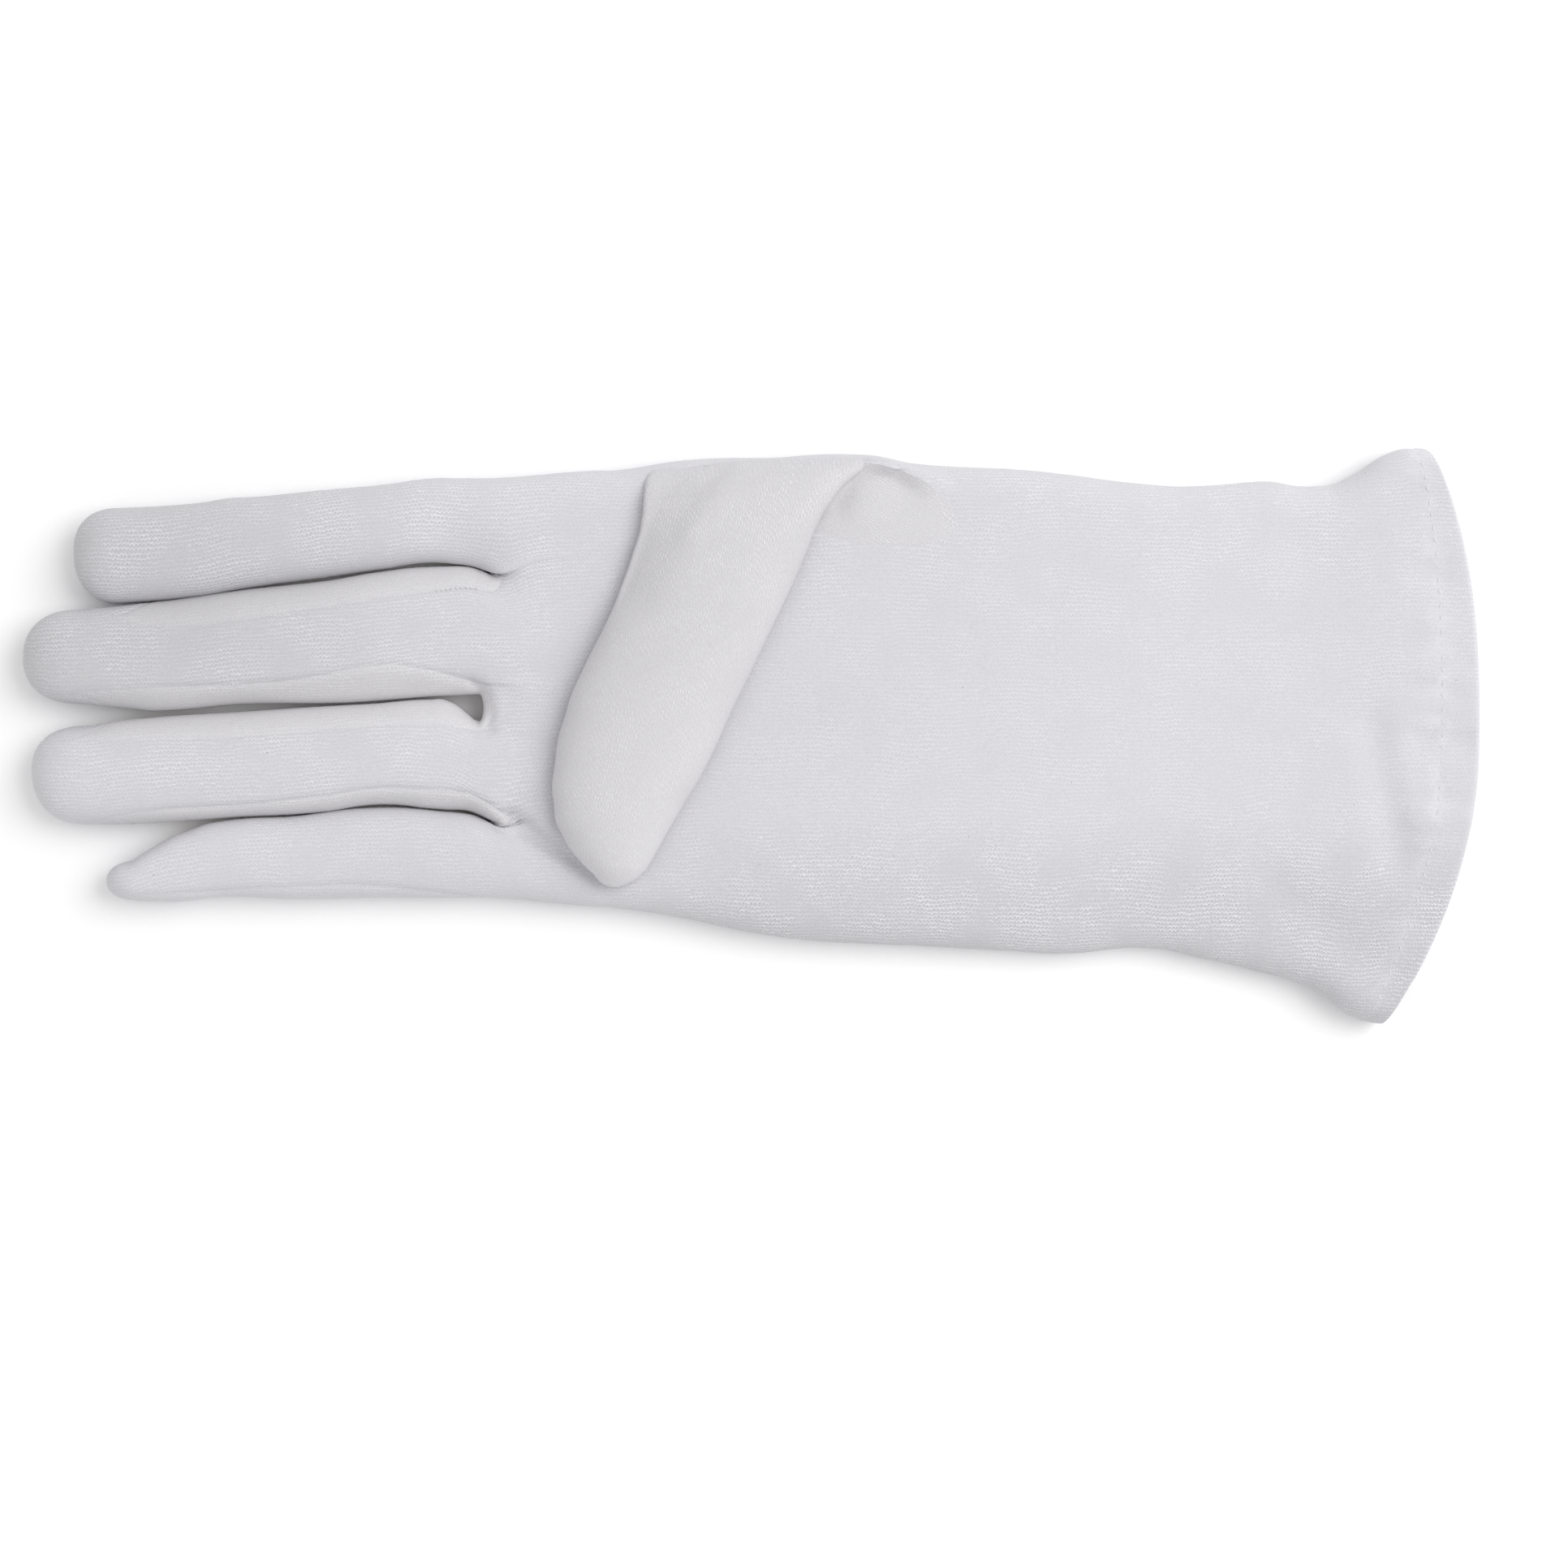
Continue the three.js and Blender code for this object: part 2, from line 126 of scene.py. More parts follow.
# %% Stations of the hand
HAND = [
    # x, index-side edge, little-side edge, top, drawn back at the index side, at the little side
    (-52.5, 51.2, -32.6, 10.5, 0, 0), (-40, 52.6, -32.9, 10.5, 0, 0),
    (-26, 53.3, -34.6, 10.5, 0, 0), (-13, 55.2, -36.6, 10.5, 0, 0),
    (4, 55.7, -40.0, 10.5, 0, 0), (23, 56.3, -41.6, 10.5, 0, 0),
    (33, 54.5, -42.0, 10.4, 0, 0), (52, 53.4, -43.1, 10.0, 0, 0),
    (65, 52.1, -43.6, 9.6, 0, 0), (78, 50.5, -42.5, 9.3, 0, 0),
    (91, 50.0, -44.5, 9.2, 0.2, 1.0), (104, 50.9, -47.2, 9.4, 0.5, 2.5),
    (114, 50.0, -49.3, 9.8, 1.0, 5.0), (122, 52.2, -51.8, 10.4, 1.5, 8.0),
    (129, 56.0, -54.8, 11.0, 2.5, 11.0), (137.2, 57.5, -57.0, 11.6, 4.5, 14.8),
    (145.2, 56.9, -57.8, 12.4, 9.2, 18.4),
]
HEM_LINE = 137.2
MOUTH = 145.2
EDGE_SHARE = 0.42      # height of the widest line, as a share of the top
EDGE_ROUND = 8.0       # how far in from the edge the cloth has reached its full height
BOW_POWER_HIGH = 2.7
BOW_POWER_LOW = 2.0
HAND_LINES = [column(HAND, which) for which in range(1, 6)]


def hand_at(x):
    """Edges, top and draw-back of the hand at a station."""
    high, low, top, bow_high, bow_low = (through(line, x) for line in HAND_LINES)
    return {"x": x, "high": high, "low": low, "top": top, "bow_high": bow_high, "bow_low": bow_low}


def drawn_back(hand, y):
    share = (2 * y - hand["high"] - hand["low"]) / (hand["high"] - hand["low"])
    if share > 0:
        return hand["bow_high"] * share ** BOW_POWER_HIGH
    return hand["bow_low"] * (-share) ** BOW_POWER_LOW


print("widest across the cuff:", hand_at(HEM_LINE)["high"] - hand_at(HEM_LINE)["low"], "mm")

# %% [markdown]
# ## The fingers
#
# Each finger is a lying tube too, closed by a round tip. Its section is a superellipse: nearly
# round over the top and almost square underneath, where the cloth lies on the table. An angle
# runs round the section from the edge on the index side, over the top, to the other edge.

# %% Stations of the fingers
FINGERS = {
    "index": {
        "tip": (-135.6, 37.0), "round": 9.0, "top": 12.2,
        "rows": [
            (-126, 45.6, 26.5), (-111, 46.5, 27.8), (-104.7, 47.5, 28.9), (-99, 47.8, 29.9),
            (-91, 48.6, 31.0), (-85, 49.2, 31.8), (-79, 49.7, 32.7), (-72, 50.4, 33.7),
            (-65, 51.4, 34.7), (-59, 51.5, 34.5), (-45, 51.4, 34.4),
        ],
    },
    "middle": {
        "tip": (-145.7, 15.4), "round": 11.0, "top": 12.6,
        "rows": [
            (-134, 25.2, 6.4), (-124, 26.3, 5.4), (-117, 27.0, 5.0), (-102, 29.1, 6.3),
            (-85, 31.0, 6.45), (-75, 32.7, 6.95), (-62, 33.9, 7.9), (-45, 33.9, 8.5),
        ],
    },
    "ring": {
        "tip": (-144.0, -6.8), "round": 11.0, "top": 12.2,
        "rows": [
            (-132, 2.0, -17.8), (-124, 3.3, -17.7), (-102, 4.8, -16.2), (-85, 5.95, -15.2),
            (-75, 6.5, -13.8), (-64, 7.3, -14.6), (-60, 6.7, -14.8), (-57, 4.6, -14.8),
            (-54.4, 2.9, -15.0), (-45, 2.6, -15.2),
        ],
    },
    "little": {
        "tip": (-129.1, -29.2), "round": 7.0, "top": 11.0,
        "rows": [
            (-124, -25.0, -33.1), (-118, -21.4, -33.3), (-113, -19.2, -33.2), (-105, -17.1, -32.3),
            (-92, -16.3, -32.8), (-75, -14.5, -32.5), (-60, -15.4, -32.5), (-45, -15.8, -32.0),
        ],
    },
}
ORDER = ("index", "middle", "ring", "little")
ROOT = -54.4           # the station where the fingers join the hand
TIP_POWER = 2.3        # roundness of a fingertip seen from above
UNDER_POWER = 4.0      # its roundness underneath, which lifts off the table only at the very end
ROOT_BLEND = 26.0      # length over which a finger sinks to the height of the hand
ROOT_RISE = 0.6        # how much higher than the hand a finger stands at its root
TOP_POWER = 2.45       # roundness of a section over the top
FLOOR_POWER = 3.4      # squareness of a section underneath


def finger_at(name, x):
    """Middle, half width and heights of a finger's section at a station."""
    finger = FINGERS[name]
    tip_x, tip_y = finger["tip"]
    ahead = clamp(1 - (x - tip_x) / finger["round"])
    full = (1 - ahead ** TIP_POWER) ** (1 / TIP_POWER)
    under = (1 - ahead ** UNDER_POWER) ** (1 / UNDER_POWER)
    high = lerp(tip_y, through(column(finger["rows"], 1), x), full)
    low = lerp(tip_y, through(column(finger["rows"], 2), x), full)
    top = lerp(finger["top"], HAND[0][3] + ROOT_RISE, ease((x - ROOT + ROOT_BLEND) / ROOT_BLEND))
    edge = EDGE_SHARE * top
    return {
        "middle": (high + low) / 2, "half": (high - low) / 2,
        "edge": edge, "rise": (top - edge) * full, "fall": edge * under,
    }


def round_section(section, angle):
    """(y, z) at an angle round a section."""
    c = math.cos(angle)
    s = math.sin(angle)
    power = section.get("power", TOP_POWER) if s >= 0 else FLOOR_POWER
    across = math.copysign(abs(c) ** (2 / power), c)
    up = section["rise"] if s >= 0 else -section["fall"]
    return section["middle"] + section["half"] * across, section["edge"] + up * abs(s) ** (2 / power)


for finger_name in ORDER:
    widest = max(row[1] - row[2] for row in FINGERS[finger_name]["rows"])
    print(finger_name, "finger, widest:", round(widest, 1), "mm")

# %% [markdown]
# ## Seams between the fingers
#
# On each finger two seams run lengthwise on each side that has a strip: the upper one joins strip
# and palm panel, the lower one strip and back panel. Both meet at the strip's pointed end near the
# fingertip. Where the upper seam shows from above it follows a measured line, and elsewhere it is
# hidden at the edge. The seams are kept as angles, so they stay on the surface wherever it goes.

# %% Seam lines
SIDE_SEAMS = {
    # finger and side: the strip, where it starts, and the upper seam as seen from above
    ("index", "high"): (None, None, None),
    ("index", "low"): ("index_middle", -126, None),
    ("middle", "high"): ("index_middle", -128, [
        (-128, 24.0), (-117, 21.8), (-101, 23.2), (-87, 25.3), (-69, 28.0), (-60, 29.2), (-54, 30.2),
    ]),
    ("middle", "low"): ("middle_ring", -136, [
        (-136, 8.0), (-123, 9.2), (-98, 10.3), (-85, 11.9), (-74, 13.8), (-66, 13.2), (-60, 11.9),
        (-54, 10.2),
    ]),
    ("ring", "high"): ("middle_ring", -136, [
        (-136, -1.0), (-120, -0.8), (-95, 0.2), (-80, 1.6), (-64, 2.3), (-59, 1.9), (-54, 0.9),
    ]),
    ("ring", "low"): ("ring_little", -130, [
        (-130, -17.2), (-122, -15.4), (-101, -13.9), (-85, -12.2), (-74, -10.7), (-66, -10.9),
        (-59, -11.2), (-54, -12.0),
    ]),
    ("little", "high"): ("ring_little", -122, None),
    ("little", "low"): (None, None, [
        (-124, -32.0), (-108, -31.2), (-85, -30.0), (-78, -29.9), (-66, -31.0), (-54, -32.3),
    ]),
}
EDGE_LIFT = math.radians(-10)      # a hidden seam lies just under the edge
STRIP_LIFT = math.radians(-52)     # lower seam of a strip
HIDDEN_LIFT = math.radians(-6)     # upper seam of a strip that the palm panel hides
POINT_LENGTH = 16.0                # length of a strip's pointed end
TIP_BLEND = 9.0                    # length over which a seam reaches the edge again at the tip


def lift_of(section, side, y):
    """Angle above the edge at which the section's top passes over a y."""
    sign = 1 if side == "high" else -1
    ratio = clamp(sign * (y - section["middle"]) / max(section["half"], 0.01), 0.0, 1.0)
    return math.acos(ratio ** (TOP_POWER / 2))


def seam_lifts(name, side, x):
    """Angles above the edge of the upper and the lower seam on one side of a finger."""
    strip, start, line = SIDE_SEAMS[(name, side)]
    upper = EDGE_LIFT
    if line:
        first = line[0][0]
        seen = max(x, first)
        upper = lift_of(finger_at(name, seen), side, through(line, seen))
        upper = lerp(upper, EDGE_LIFT, ease((first - x) / TIP_BLEND))
    elif strip:
        upper = lerp(EDGE_LIFT, HIDDEN_LIFT, ease((x - start) / POINT_LENGTH))
    lower = lerp(upper, STRIP_LIFT, ease((x - start) / POINT_LENGTH)) if strip else upper
    return upper, lower


print("upper seam of the middle finger's strip at its root:",
      round(math.degrees(seam_lifts("middle", "high", ROOT)[0])), "degrees above the edge")

# %% [markdown]
# ## Folds, dents and the slight waviness of the cloth
#
# A fold is a line through a few points on the plan of the glove, with a width and a depth, which
# may change from point to point. Every point of the upper side sinks by the folds near it, and
# rises and falls a little with a slow noise. Both depend on the place alone, so two pieces that
# share a seam move together and stay closed.

# %% Folds
FOLDS = [
    # points of the line, width, depth (a minus depth is a ridge)
    (((-60, 39.0), (-53, 36.5)), 4.6, 0.9),                # dimple above the index and middle crotch
    (((-60, 12.0), (-54, 9.5)), 2.0, 0.5),                 # rolled lip at the middle and ring crotch
    (((-55.4, 10.6), (-52.6, 8.0), (-51.9, 4.5), (-52.2, 0.5)), 0.9, 0.75),
    # crease from the ring and little crotch
    (((-47.5, -16.4), (-42, -20.8), (-36, -24.5), (-29, -30.0)), 1.7, (2.2, 2.2, 1.6, 0.4)),
    (((-95, 9.4), (-62, 10.0)), 1.8, 0.35),                # second crease along the middle finger
    # hollow of the gusset, and the fold that arches over it from the thumb
    (((17.5, 46.4), (20.5, 51.0), (25.0, 52.0), (29.0, 50.9), (33.0, 48.4)), 1.6, (0.8, 1.4, 1.5, 1.4, 0.6)),
    (((18.0, 45.4), (23.0, 48.8), (28.4, 48.6)), 3.4, 0.5),
    (((21.5, 54.6), (24.6, 54.6), (28.0, 54.1), (32.0, 53.0), (36.0, 51.0), (40.0, 48.0)),
     2.0, (0.0, -1.7, -2.4, -1.6, -0.8, 0.0)),
    (((22, 43.0), (33, 41.8)), 3.6, -0.3),                 # the gusset bulges a little
    (((124, 1.0), (129, -24.0)), 4.0, 0.9),                # slack band before the hem
    (((134, -1.5), (142.5, -1.5)), 3.0, 1.0),              # dimple in the hem
    (((132, -16.5), (142, -16.5)), 2.4, -0.6),             # pucker beside it
    (((134, -10.0), (137, -10.0)), 2.2, 0.5),
    (((104, -30.0), (128, -49.0)), 5.0, 0.7),              # flare at the cuff's lower corner
    (((112, 38.0), (126, 46.0)), 7.0, 0.5),
]
PULLS = [
    # middle in x and y, reach in x and y, sideways pull: the seams drag the cloth at a crotch
    (-49.5, 32.0, 5.0, 6.5, -2.6),
    (-49.5, -15.6, 4.5, 5.0, -2.7),
]
FOLD_REACH = 3         # a fold is felt up to this many widths away
SWELL = 0.5            # height of the slow waves
SWELL_LENGTH = 42.0
SWELL_LEVEL = 0.45     # value of the noise at which a wave is neither up nor down
RIPPLE = 0.035         # height of the quick ones on them
RIPPLE_LENGTH = 7.0
RIPPLE_SEED = 7.0
LOOSE_FROM = 3.0       # height above the table from which the cloth is free to settle
LOOSE_OVER = 6.0       # and over which it becomes so


def line_distance(start, end, x, y):
    """Distance of a place from a straight line between two points, and where along it is nearest."""
    run_x, run_y = end[0] - start[0], end[1] - start[1]
    share = clamp(((x - start[0]) * run_x + (y - start[1]) * run_y) / (run_x * run_x + run_y * run_y))
    return math.hypot(x - start[0] - run_x * share, y - start[1] - run_y * share), share


def fold_depth(folds, x, y):
    """How far the folds press the cloth down at a place."""
    depth = 0.0
    for points, width, deep in folds:
        steps = enumerate(zip(points, points[1:]))
        off, share, k = min((*line_distance(start, end, x, y), k) for k, (start, end) in steps)
        off /= width
        if off < FOLD_REACH:
            here = lerp(deep[k], deep[k + 1], share) if isinstance(deep, tuple) else deep
            depth += here * math.exp(-off * off)
    return depth


def swell(x, y, seed):
    slow = noise.noise(Vector((x / SWELL_LENGTH, y / SWELL_LENGTH, seed)))
    quick = noise.noise(Vector((x / RIPPLE_LENGTH, y / RIPPLE_LENGTH, seed + RIPPLE_SEED)))
    return SWELL * (slow - SWELL_LEVEL) + RIPPLE * quick


def settled(x, y, z):
    """A point of the glove after the pull at the crotches, and on its upper side folds and waves."""
    y += sum(
        pull * math.exp(-((x - x_mid) / x_reach) ** 2 - ((y - y_mid) / y_reach) ** 2)
        for x_mid, y_mid, x_reach, y_reach, pull in PULLS
    )
    loose = ease((z - LOOSE_FROM) / LOOSE_OVER)
    if loose:
        z += loose * (swell(x, y, 1.0) - fold_depth(FOLDS, x, y))
    return Vector((x, y, z))


print(len(FOLDS), "folds")

# %% [markdown]
# ## Laying a grid
#
# Every panel starts as a grid whose vertices are then moved to rows of places. The same rows give
# the UV map, in millimetres of cloth: u runs along the knit's columns of stitches, called wales,
# and v across them. The knit material follows that map, so the wales run along each finger and
# bend with the cloth.

# %% Grid tools
def lay_grid(bm, rows, settle=settled):
    """A grid moved to rows of (place, (u, v)), each place settled as the cloth around it is."""
    cloth = bm.loops.layers.uv.get("cloth") or bm.loops.layers.uv.new("cloth")
    across = len(rows[0]) - 1
    along = len(rows) - 1
    made = bmesh.ops.create_grid(bm, x_segments=across, y_segments=along, size=1.0)
    for vert in made["verts"]:
        i = round((vert.co.x + 1) / 2 * across)
        j = round((vert.co.y + 1) / 2 * along)
        place, uv = rows[j][i]
        vert.co = settle(*place)
        for loop in vert.link_loops:
            loop[cloth].uv = uv


def spread(count, margin):
    """Shares from 0 to 1, evenly apart but closer together near both ends."""
    inner = [lerp(margin[-1], 1 - margin[-1], k / count) for k in range(count + 1)]
    return [*margin[:-1], *inner, *(1 - share for share in reversed(margin[:-1]))]


def looked_up(pairs, value):
    """Second number of a pair list at a value of the first, along straight lines."""
    after = clamp(bisect.bisect_right(pairs, value, key=lambda pair: pair[0]), 1, len(pairs) - 1)
    (start, first), (end, last) = pairs[after - 1], pairs[after]
    share = clamp((value - start) / (end - start)) if end > start else 0.0
    return lerp(first, last, share)


def round_cells(section, start, end, centre, shares, steps=40):
    """Angle, place and wale of the cells round a section, between two angles.

    Shares are of the cloth's length. The wale is the length of cloth from the centre angle.
    """
    lengths = [(0.0, start)]
    last = Vector(round_section(section, start))
    for k in range(1, steps + 1):
        angle = lerp(start, end, k / steps)
        here = Vector(round_section(section, angle))
        lengths.append((lengths[-1][0] + (here - last).length, angle))
        last = here
    middle = looked_up(sorted((angle, length) for length, angle in lengths), centre)
    cells = []
    for share in shares:
        length = lengths[-1][0] * share
        angle = looked_up(lengths, length)
        cells.append((angle, round_section(section, angle), middle - length))
    return cells


SEAM_MARGIN = [0.0, 0.018, 0.042, 0.075]
PALM_SHARES = spread(19, SEAM_MARGIN)
BACK_SHARES = spread(14, SEAM_MARGIN)
print("columns on a finger:", len(PALM_SHARES), "over,", len(BACK_SHARES), "under")

# %% [markdown]
# ## Rows along a finger
#
# One row of places goes over the top of a finger, from seam to seam, for the palm panel, and
# another underneath for the back panel. The rows are closer together round the tip, where they
# all shrink to one point.

# %% Finger rows
ROW_SPACING = 1.05
CAP_ROWS = 13          # rows over the round tip
MIDDLE_LINES = {name: finger_at(name, ROOT)["middle"] for name in ORDER}


def finger_row(name, face, x):
    """Cells across a finger at a station: place, (u, v) and angle."""
    seam, sign, shares = (0, 1, PALM_SHARES) if face == "palm" else (1, -1, BACK_SHARES)
    start = seam_lifts(name, "high", x)[seam]
    end = sign * math.pi - seam_lifts(name, "low", x)[seam]
    cells = round_cells(finger_at(name, x), start, end, sign * math.pi / 2, shares)
    return [((x, y, z), (x, MIDDLE_LINES[name] + wale), angle) for angle, (y, z), wale in cells]


def finger_stations(name):
    return from_tip(FINGERS[name]["tip"][0], FINGERS[name]["round"], CAP_ROWS, ROOT, ROW_SPACING)


for finger_name in ORDER:
    print(finger_name, "finger:", len(finger_stations(finger_name)), "rows")

# %% [markdown]
# ## Round the crotches
#
# Between two fingers the strip turns back, so the hole between them ends in a small U. The U is
# made from the two fingers' own sections: it starts as the side of one, ends as the side of the
# other, and takes the values between them on the way. Its reach is measured.

# %% Crotches
CROTCHES = {
    # strip: the finger above and below the gap, reach towards the cuff, and how many degrees
    # further in the upper seam runs at the bottom of the U
    "index_middle": {"above": "index", "below": "middle", "reach": 3.2, "bulge": 2},
    "middle_ring": {"above": "middle", "below": "ring", "reach": 0.8, "bulge": 4},
    "ring_little": {"above": "ring", "below": "little", "reach": 3.6, "bulge": 26},
}
BULGE_POWERS = (4, 12)  # how soon the bulge grows on the way to the bottom of the U, and fades after it
TURNS = half_turn(12)


def turn_lifts(strip, turn):
    """Upper and lower seam angle part of the way round a crotch."""
    crotch = CROTCHES[strip]
    share = (1 - math.cos(turn)) / 2
    above = seam_lifts(crotch["above"], "low", ROOT)
    below = seam_lifts(crotch["below"], "high", ROOT)
    power = BULGE_POWERS[0] if turn < math.pi / 2 else BULGE_POWERS[1]
    upper = lerp(above[0], below[0], share) + math.radians(crotch["bulge"]) * math.sin(turn) ** power
    return upper, lerp(above[1], below[1], share)


def turn_place(strip, turn, lift):
    """Place on the U of a crotch, at a lift above its edge."""
    crotch = CROTCHES[strip]
    above = finger_at(crotch["above"], ROOT)
    below = finger_at(crotch["below"], ROOT)
    share = (1 - math.cos(turn)) / 2
    section = {key: lerp(above[key], below[key], share) for key in ("half", "edge", "rise", "fall")}
    section["middle"] = 0.0
    y_in, z = round_section(section, lift)
    inward = section["half"] - y_in
    edge_above = above["middle"] - above["half"]
    edge_below = below["middle"] + below["half"]
    middle = (edge_above + edge_below) / 2
    gap = (edge_above - edge_below) / 2
    x = ROOT + (crotch["reach"] + inward) * math.sin(turn)
    y = middle + (gap + inward) * math.cos(turn)
    return x, y, z


for strip_name in CROTCHES:
    deepest = settled(*turn_place(strip_name, math.pi / 2, 0.0))
    print(strip_name, "gap ends at", round(deepest.x, 1), round(deepest.y, 1))

# %% [markdown]
# ## Rows over the hand
#
# The first row of the hand is the fingers' last row, with the crotches between. Each cell of that
# row becomes a column of the hand. Over the first few centimetres the humps of the fingers sink
# into the flat hand, and from there to the cuff every column keeps its share of the width. The
# wales don't: the panel is cut from straight cloth, so they run parallel to its length.

# %% Columns that the fingers start
LEAST_STEP = 0.002     # least distance between two columns, as a share of the width
HUMP_POWER = 1.6       # how soon the humps of the fingers sink into the hand
CROTCH_POWER = 24.0    # and how soon the hollows between them rise
CROTCH_HOLLOW = 3.5    # depth below the palm from which a place counts as a hollow


def root_cells(face):
    """The first row of the hand: place, v and where the column lies across the hand."""
    cells = []
    for name in ORDER:
        for place, (_, v), angle in finger_row(name, face, ROOT):
            outer = None
            if name == "index" and abs(angle) < math.pi / 2:
                outer = ("high", angle)
            if name == "little" and abs(angle) > math.pi / 2:
                outer = ("low", angle)
            cells.append({"place": place, "v": v, "outer": outer})
        for strip in (key for key, crotch in CROTCHES.items() if crotch["above"] == name):
            for turn in TURNS:
                lift = turn_lifts(strip, turn)[0 if face == "palm" else 1]
                place = turn_place(strip, turn, lift)
                cells.append({"place": place, "v": place[1], "outer": None})
    high, low = MIDDLE_LINES["index"], MIDDLE_LINES["little"]
    least = -1.0
    for cell in cells:
        least = max(least + LEAST_STEP, (high - cell["place"][1]) / (high - low))
        cell["share"] = least
        hollow = 0.0 if cell["outer"] else ease((HAND[0][3] - cell["place"][2]) / CROTCH_HOLLOW)
        cell["sink"] = lerp(HUMP_POWER, CROTCH_POWER, hollow)
    return cells


PALM_CELLS = root_cells("palm")
BACK_CELLS = root_cells("back")
print("columns over the hand:", len(PALM_CELLS), "palm,", len(BACK_CELLS), "back")

# %% Hand rows
HAND_BLEND = 26.0      # length over which the humps sink
HAND_SPACING = 1.1     # distance between two rows
GATHER = 0.6           # height of the small gathers along the hem
GATHER_LENGTH = 6.0    # how far they run to either side of its stitches
GATHER_END = 2.5       # they are gone at this many times that length
GATHER_WAVE = (16.0, 3.0)  # length of one gather along the cuff, and its width
GATHER_SEED = 3.0
LYING = 1.0            # cloth lower than this lies on the table


def outer_section(hand, side):
    """Section of the hand's round edge on one side."""
    edge = EDGE_SHARE * hand["top"]
    inwards = -EDGE_ROUND if side == "high" else EDGE_ROUND
    return {
        "middle": hand[side] + inwards, "half": EDGE_ROUND,
        "edge": edge, "rise": hand["top"] - edge, "fall": edge,
    }


def hand_place(cell, face, hand):
    """Where a column lies on the flat hand at a station, before folds."""
    if cell["outer"]:
        side, angle = cell["outer"]
        return round_section(outer_section(hand, side), angle)
    y = lerp(hand["high"] - EDGE_ROUND, hand["low"] + EDGE_ROUND, clamp(cell["share"]))
    return y, hand["top"] if face == "palm" else 0.0


def cloth_line(cell, face, hand):
    """The wale on which a column of the hand lies at a station."""
    if not cell["outer"]:
        return hand_place(cell, face, hand)[0]
    side, _ = cell["outer"]
    finger = "index" if side == "high" else "little"
    return outer_section(hand, side)["middle"] + cell["v"] - MIDDLE_LINES[finger]


def gathers(x, y, z):
    """Small gathers that the stitches of the hem draw into the cloth."""
    off = (x - HEM_LINE) / GATHER_LENGTH
    if abs(off) > GATHER_END or z < LYING:
        return 0.0
    wave = noise.noise(Vector((x / GATHER_WAVE[0], y / GATHER_WAVE[1], GATHER_SEED)))
    return GATHER * math.exp(-off * off) * wave


def hand_cells(cells, face, x):
    """One row of the hand as (place, (u, v)) cells."""
    share = (x - ROOT) / HAND_BLEND
    hand = hand_at(max(x, ROOT + HAND_BLEND))
    row = []
    for cell in cells:
        y, z = hand_place(cell, face, hand)
        v = cloth_line(cell, face, hand)
        if share < 1:
            x_root, y_root, z_root = cell["place"]
            along = lerp(x_root, hand["x"], share)
            across = lerp(y_root, y, ease(share))
            up = lerp(z, z_root, (1 - ease(share)) ** cell["sink"])
            row.append(((along, across, up), (along, lerp(cell["v"], v, ease(share)))))
        else:
            row.append(((x - drawn_back(hand, y), y, z + gathers(x, y, z)), (x, v)))
    return row


print("cells in a row at the wrist:", len(hand_cells(PALM_CELLS, "palm", 78.0)))

# %% [markdown]
# ## Rolled edges and wall thickness
#
# A seam in jersey shows as a fine valley between two rolled edges, because the stitches pull both
# edges inwards. Every open edge of a piece is therefore drawn in a little, most at the edge itself
# and a bit unevenly, as hand-guided sewing does. Then the edge is extruded inwards: that is the
# seam allowance, which on the real glove lies inside too, and it keeps light out of the seam. A
# Solidify modifier gives the cloth its thickness on the inside.

# %% Roll the edges
ROLL_DEPTH = 0.2
FLAT_ROLL = 0.04       # round the thumb hole and at the fingertips, where seams are pressed flat
ROLL_WIDTH = 0.9
ROLL_FROM = -128.0     # station near the fingertips from which the seams roll
ROLL_OVER = 16.0       # and length over which they come to do so
HEM_CLEAR = 30.0       # the side seams lie flat this close to the hem
RIDGE = 0.11           # height of the swelling beside a seam, over the allowance inside
RIDGE_AT = 1.5         # its distance from the seam
PUCKER = 0.6           # how unevenly the edges are drawn in
PUCKER_LENGTH = 1.6
HOLE_STATIONS = (-30, 50)  # the thumb hole lies between these two
HOLE_SIDE = 30         # and only where y is more than this


def by_thumb_hole(place):
    return place.y > HOLE_SIDE and HOLE_STATIONS[0] < place.x < HOLE_STATIONS[1]


def strip_roll(place):
    """Less towards a strip's pointed ends, where its two seams run into one."""
    return lerp(FLAT_ROLL, ROLL_DEPTH, ease((place.x - ROLL_FROM) / ROLL_OVER))


def panel_roll(place):
    if by_thumb_hole(place):
        return FLAT_ROLL
    return 0.0 if place.x > HEM_LINE - HEM_CLEAR else strip_roll(place)


def roll_edges(bm, roll=panel_roll, width=ROLL_WIDTH):
    """Draws a piece in along its open edges, by a depth that depends on the place."""
    bm.normal_update()
    rim = [vert for vert in bm.verts if vert.is_boundary]
    tree = kdtree.KDTree(len(rim))
    for k, vert in enumerate(rim):
        tree.insert(vert.co, k)
    tree.balance()
    for vert in bm.verts:
        _, _, off = tree.find(vert.co)
        if off < 2 * RIDGE_AT:
            pucker = 1 + PUCKER * noise.noise(vert.co / PUCKER_LENGTH)
            depth = roll(vert.co)
            ridge = RIDGE * (depth / ROLL_DEPTH) * math.sin(math.pi * off / (2 * RIDGE_AT)) ** 2
            vert.co += vert.normal * (pucker * (ridge - depth * (1 - ease(off / width))))
            vert.co.z = max(vert.co.z, 0.0)


print("an edge is drawn in by up to", ROLL_DEPTH, "mm")

# %% Turn the edges in
ALLOWANCE = 0.8
LYING_FLAT = 0.6       # from this upward lean of the cloth its allowance hangs straight down
UP = Vector((0, 0, 1))
DOWN = Vector((0, 0, -1))


